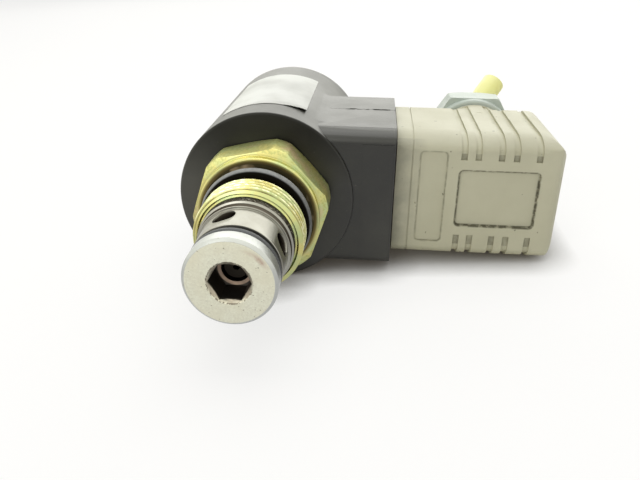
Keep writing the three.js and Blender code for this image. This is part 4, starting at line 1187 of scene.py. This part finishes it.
def grip_groove(place, side, start):
    """A cutter that runs from the front over the rounded edge and across the top (1) or the
    bottom (-1)."""
    depth, width, clear = 0.55, 1.3, 20
    front, floor, back = plug_front - 1, plug_front + depth, plug_back + 1
    turn_y, turn_z = plug_front + crown_run, plug_half - corner_radius
    reach_y, reach_z = crown_run - depth, corner_radius - depth
    outline = [(front, start), (floor, start)]
    for step in range(7):
        angle = math.radians(step * 15)
        outline.append((turn_y - reach_y * math.cos(angle), turn_z + reach_z * math.sin(angle)))
    outline += [(back, plug_half - depth), (back, clear), (front, clear)]
    span = (plug_foot + place - width / 2, plug_foot + place + width / 2)
    return bar_along_x("groove", [(y, side * z) for y, z in outline], span)


grip_places = (13.9, 16.8, 21.5, 24.55, 29.15)
upper_start, lower_start = 9.0, 7.9
grooves = [grip_groove(place, 1, upper_start) for place in grip_places]
grooves += [grip_groove(place, -1, lower_start) for place in grip_places]
cut_away(cover, *grooves)
sunk_panels = []
for name, (x, z), depth, corner in (
    ("narrow_panel", narrow_panel, 0.35, 0.9),
    ("square_panel", square_panel, 0.7, 1.0),
):
    panel = block(name, x, (plug_front - 1, plug_front + depth), z)
    sunk_panels.append(bevel_where(panel, lambda one, other: abs(one.y - other.y) > 1, corner, 5))
cut_away(cover, *sunk_panels)
skirt, skirt_depth = (30.3, 30.6), 0.22
around = (plug_front - 1, plug_back + 1), (-plug_half - 1, plug_half + 1)
skirt_line = block("skirt_line", skirt, *around)
combine(skirt_line, bar_along_x("core", plug_section(skirt_depth), (30, 31)))
cut_away(cover, skirt_line)
round_edges(cover, 0.14, 42)
settle(cover, grey_moulding, "plug_body", "grey_moulding", "plug_housing", flat=True)

# %% [markdown]
# The gland's nut is a hexagon with a round flange in front, a long taper behind and a spigot that
# presses the seal. All its edges are rounded, as on the real moulding.

# %% Gland nut
nut_front, nut_back, nut_bore, nut_flats = 32.9, 42.5, 3.5, 20.6
nut = turned(
    "gland_cap",
    [
        (nut_bore, nut_front + 1.6), (11.5, nut_front + 1.6), (11.9, nut_front + 2.0, 0.2),
        (11.9, nut_back - 2.8, 0.6), (8.9, nut_back, 0.5), (nut_bore, nut_back, 0.4),
    ],
    sectors=96,
)
combine(nut, hexagon_bar("bar", nut_flats, (30, nut_back + 1), 0), "INTERSECT")
flange = turned(
    "flange",
    [
        (nut_bore, nut_front - 2.5, 0.2), (7.1, nut_front - 2.5, 0.2), (7.1, nut_front),
        (10.2, nut_front, 0.7), (10.2, nut_front + 1.8, 0.2), (9.9, nut_front + 1.9),
        (nut_bore, nut_front + 1.9),
    ],
    sectors=96,
)
combine(nut, flange, "UNION")
round_edges(nut, 0.35, 38, segments=3)
shift(nut, gland_x, 0, gland_z)
settle(nut, pale_moulding, "gland_nut_body", "pale_moulding", "gland_nut", flat=True)

# %% [markdown]
# The cable is cut off a short way behind its gland. It is a round cord along a smooth curve, and
# its end face is inset and pushed in, so that the jacket stands round the filler, with the three
# cut cores in it.

# %% Cable stub
cable_radius, core_radius, conductor_radius, core_offset = 2.9, 0.85, 0.42, 1.15
jacket_wall, filler_depth, end_rounding, end_reach = 0.55, 0.9, 0.2, 0.6
straight_stations = (21.95, 30.8, 41.8)
bends = ((0.1, 0.5, 0.15), (0.45, 1.1, 1.0), (1.3, 1.7, 2.5), (2.4, 3.0, 3.75))
cable_way = [Vector((gland_x, station, gland_z)) * MM for station in straight_stations]
nut_end = Vector((gland_x, nut_back, gland_z))
cable_way += [(nut_end + Vector(bend) * cable_radius) * MM for bend in bends]
end_way = (cable_way[-1] - cable_way[-2]).normalized()


def tube(name, points, radius, flats):
    """A round cord along a smooth curve through places in metres."""
    deselect()
    curve = bpy.data.curves.new(name, "CURVE")
    curve.dimensions = "3D"
    spline = curve.splines.new("BEZIER")
    spline.bezier_points.add(len(points) - 1)
    for knot, place in zip(spline.bezier_points, points):
        knot.co = place
        knot.handle_left_type = knot.handle_right_type = "AUTO"
    curve.bevel_depth = radius * MM
    curve.bevel_resolution = flats
    curve.resolution_u = 12
    curve.use_fill_caps = True
    piece = bpy.data.objects.new(name, curve)
    scene.collection.objects.link(piece)
    take(piece)
    bpy.ops.object.convert(target="MESH")
    piece = bpy.context.object
    edit(piece)
    close_up()
    return piece


def select_end():
    """Selects the jacket's end face."""
    end_place = cable_way[-1] / MM
    select_where(lambda place: (place - end_place).length < end_reach)


jacket = tube("cable_stub", cable_way, cable_radius, 10)
edit(jacket)
select_end()
bpy.ops.mesh.bevel(offset=end_rounding * MM, segments=2, profile=0.5)
select_end()
bpy.ops.mesh.inset(thickness=jacket_wall * MM)
bpy.ops.transform.translate(value=-end_way * filler_depth * MM)
settle(jacket, yellow_jacket, "plug_body", "yellow_jacket", "cable_jacket")

aside = end_way.cross(Vector((0, 0, 1))).normalized()
upward = aside.cross(end_way)
for colour, degrees, material in (
    ("brown", 90, brown_core), ("blue", 210, blue_core), ("green", 330, green_core)
):
    out = aside * math.cos(math.radians(degrees)) + upward * math.sin(math.radians(degrees))
    middle = cable_way[-1] + out * core_offset * MM
    for kind, low, high, radius, flats, paint, slot in (
        ("core", 3, 0.35, core_radius, 5, material, colour + "_insulation"),
        ("wire", 1, 0.3, conductor_radius, 3, copper, "copper_winding"),
    ):
        ends = [middle - end_way * depth * MM for depth in (low, high)]
        cord = tube(f"cut_{kind}_{colour}", ends, radius, flats)
        settle(cord, paint, "plug_body", slot)

# %% [markdown]
# Behind the coil stands the pole piece's threaded stud, with a slot across its end, and the nut
# that clamps the coil. The stud's thread is made in the same way as the body's, and the nut is a
# hexagon cut from a turned blank with a round flange.

# %% Pole piece and coil nut
stud_end, stud_root, stud_crest, pole_radius, pole_back = 60.8, 3.4, 3.9, 5.45, 49.7
pole = turned(
    "pole_stud",
    [
        (0, 26.55), (2.8, 26.55), (2.8, 23.95), (pole_radius, 23.95, 0.2),
        (pole_radius, pole_back, 0.2), (3.5, pole_back), (3.5, stud_end - 0.1), (3.0, stud_end),
        (0, stud_end),
    ],
    sectors=64,
)
stud_thread = helix_thread(stud_root, stud_crest, 1, (pole_back + 0.2, stud_end - 0.1), 0.6, 0.05)
combine(pole, stud_thread, "UNION")
cut_away(pole, block("slot", (-5, 5), (stud_end - 1.6, stud_end + 1), (-0.7, 0.7)))
settle(pole, dark_steel, "cartridge", "soft_iron", "pole_piece")

clamp_front, clamp_radius, clamp_bore, tapped_radius, clamp_flats = 50.3, 9.8, 6.8, 4.15, 17
clamp = turned(
    "clamp_nut",
    [
        (clamp_bore, clamp_front + 0.3), (9.0, clamp_front + 0.3),
        (clamp_radius, clamp_front + 1.2, 0.4), (clamp_radius, clamp_front + 5.8, 0.3),
        (8.6, clamp_front + 6.5), (4.5, clamp_front + 6.5, 0.1),
        (tapped_radius, clamp_front + 6.1), (tapped_radius, clamp_front + 1.8),
        (clamp_bore, clamp_front + 1.8),
    ],
    sectors=96,
)
combine(clamp, hexagon_bar("bar", clamp_flats, (40, 70), 12), "INTERSECT")
rim = turned(
    "rim",
    [
        (clamp_bore, clamp_front, 0.1), (10.6, clamp_front, 0.2), (10.6, clamp_front + 1.5, 0.3),
        (9.6, clamp_front + 1.8), (clamp_bore, clamp_front + 1.8),
    ],
    sectors=96,
)
combine(clamp, rim, "UNION")
round_edges(clamp, 0.12, 45)
settle(clamp, zinc, "coil_nut_body", "zinc_plated_steel", "coil_nut")

# %% [markdown]
# The long screw through the plug has a slotted cheese head with a domed edge and a thread at its
# tip. The blades of the tower have chamfered tips, so that they slip into their contacts.

# %% Plug screw and contact blades
tip, head_foot, head_top, shank_radius, head_radius = 20.3, 58.9, 61.1, 1.5, 2.9
shaft = turned(
    "plug_long_screw",
    [
        (0, tip), (1.0, tip), (1.25, 20.7), (1.25, 28.6), (shank_radius, 28.8),
        (shank_radius, head_foot, 0.1), (head_radius, head_foot, 0.15),
        (head_radius, head_top, 0.5), (0, head_top),
    ],
    sectors=64,
)
combine(shaft, helix_thread(1.2, shank_radius, 0.5, (20.5, 28.7), 0.3, 0.03), "UNION")
cut_away(shaft, block("slot", (-0.4, 0.4), (60, 62), (-4, 4)))
lay_along_x(shaft, plug_middle, 0)
settle(shaft, turned_steel, "plug_screw_body", "turned_steel", "plug_screw")

blade_span, blade_chamfer, hole_x = (21.8, 35.2), 0.3, 31
for name, (y, z, upright) in zip(("1", "2", "earth"), blades):
    tab = blade_block("tab_" + name, y, z, upright, blade_span, 0)
    bevel_where(tab, lambda one, other: one.x > 35 and other.x > 35, blade_chamfer, 2, 0.4)
    way, at, centre = ("Y", (hole_x, z), y) if upright else ("Z", (hole_x, y), z)
    cut_away(tab, peg("hole", 0.8, (centre - 2, centre + 2), way, at, 24))
    settle(tab, tinned, "coil_body", "tinned_contact", "blade_" + name)

# %% [markdown]
# The two springs are real helices: a small ring set off the axis is screwed along it. Each has one
# end that stays where it is and one that moves with its piece.

# %% Springs
for name, node, joint, travel, radius, wire, curls, span in (
    ("return_spring", "armature_spring", "armature_slide", 2.2, 2.15, 0.35, 8, (14.75, 26.25)),
    ("piston_spring", "poppet_spring", "poppet_slide", 1.8, 3.8, 0.4, 5, (-19.98, -9.95)),
):
    front, back = span
    length = back - front
    ring_place = Vector((radius, front + wire, 0)) * MM
    deselect()
    bpy.ops.mesh.primitive_circle_add(vertices=16, radius=wire * MM, location=ring_place)
    piece = place_straight(newest(name))
    screwed(piece, (length - 2 * wire) / curls, curls, 40, corners=16)
    settle(piece, spring_wire, "cartridge", "spring_steel", node, degrees=60)
    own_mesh(piece)
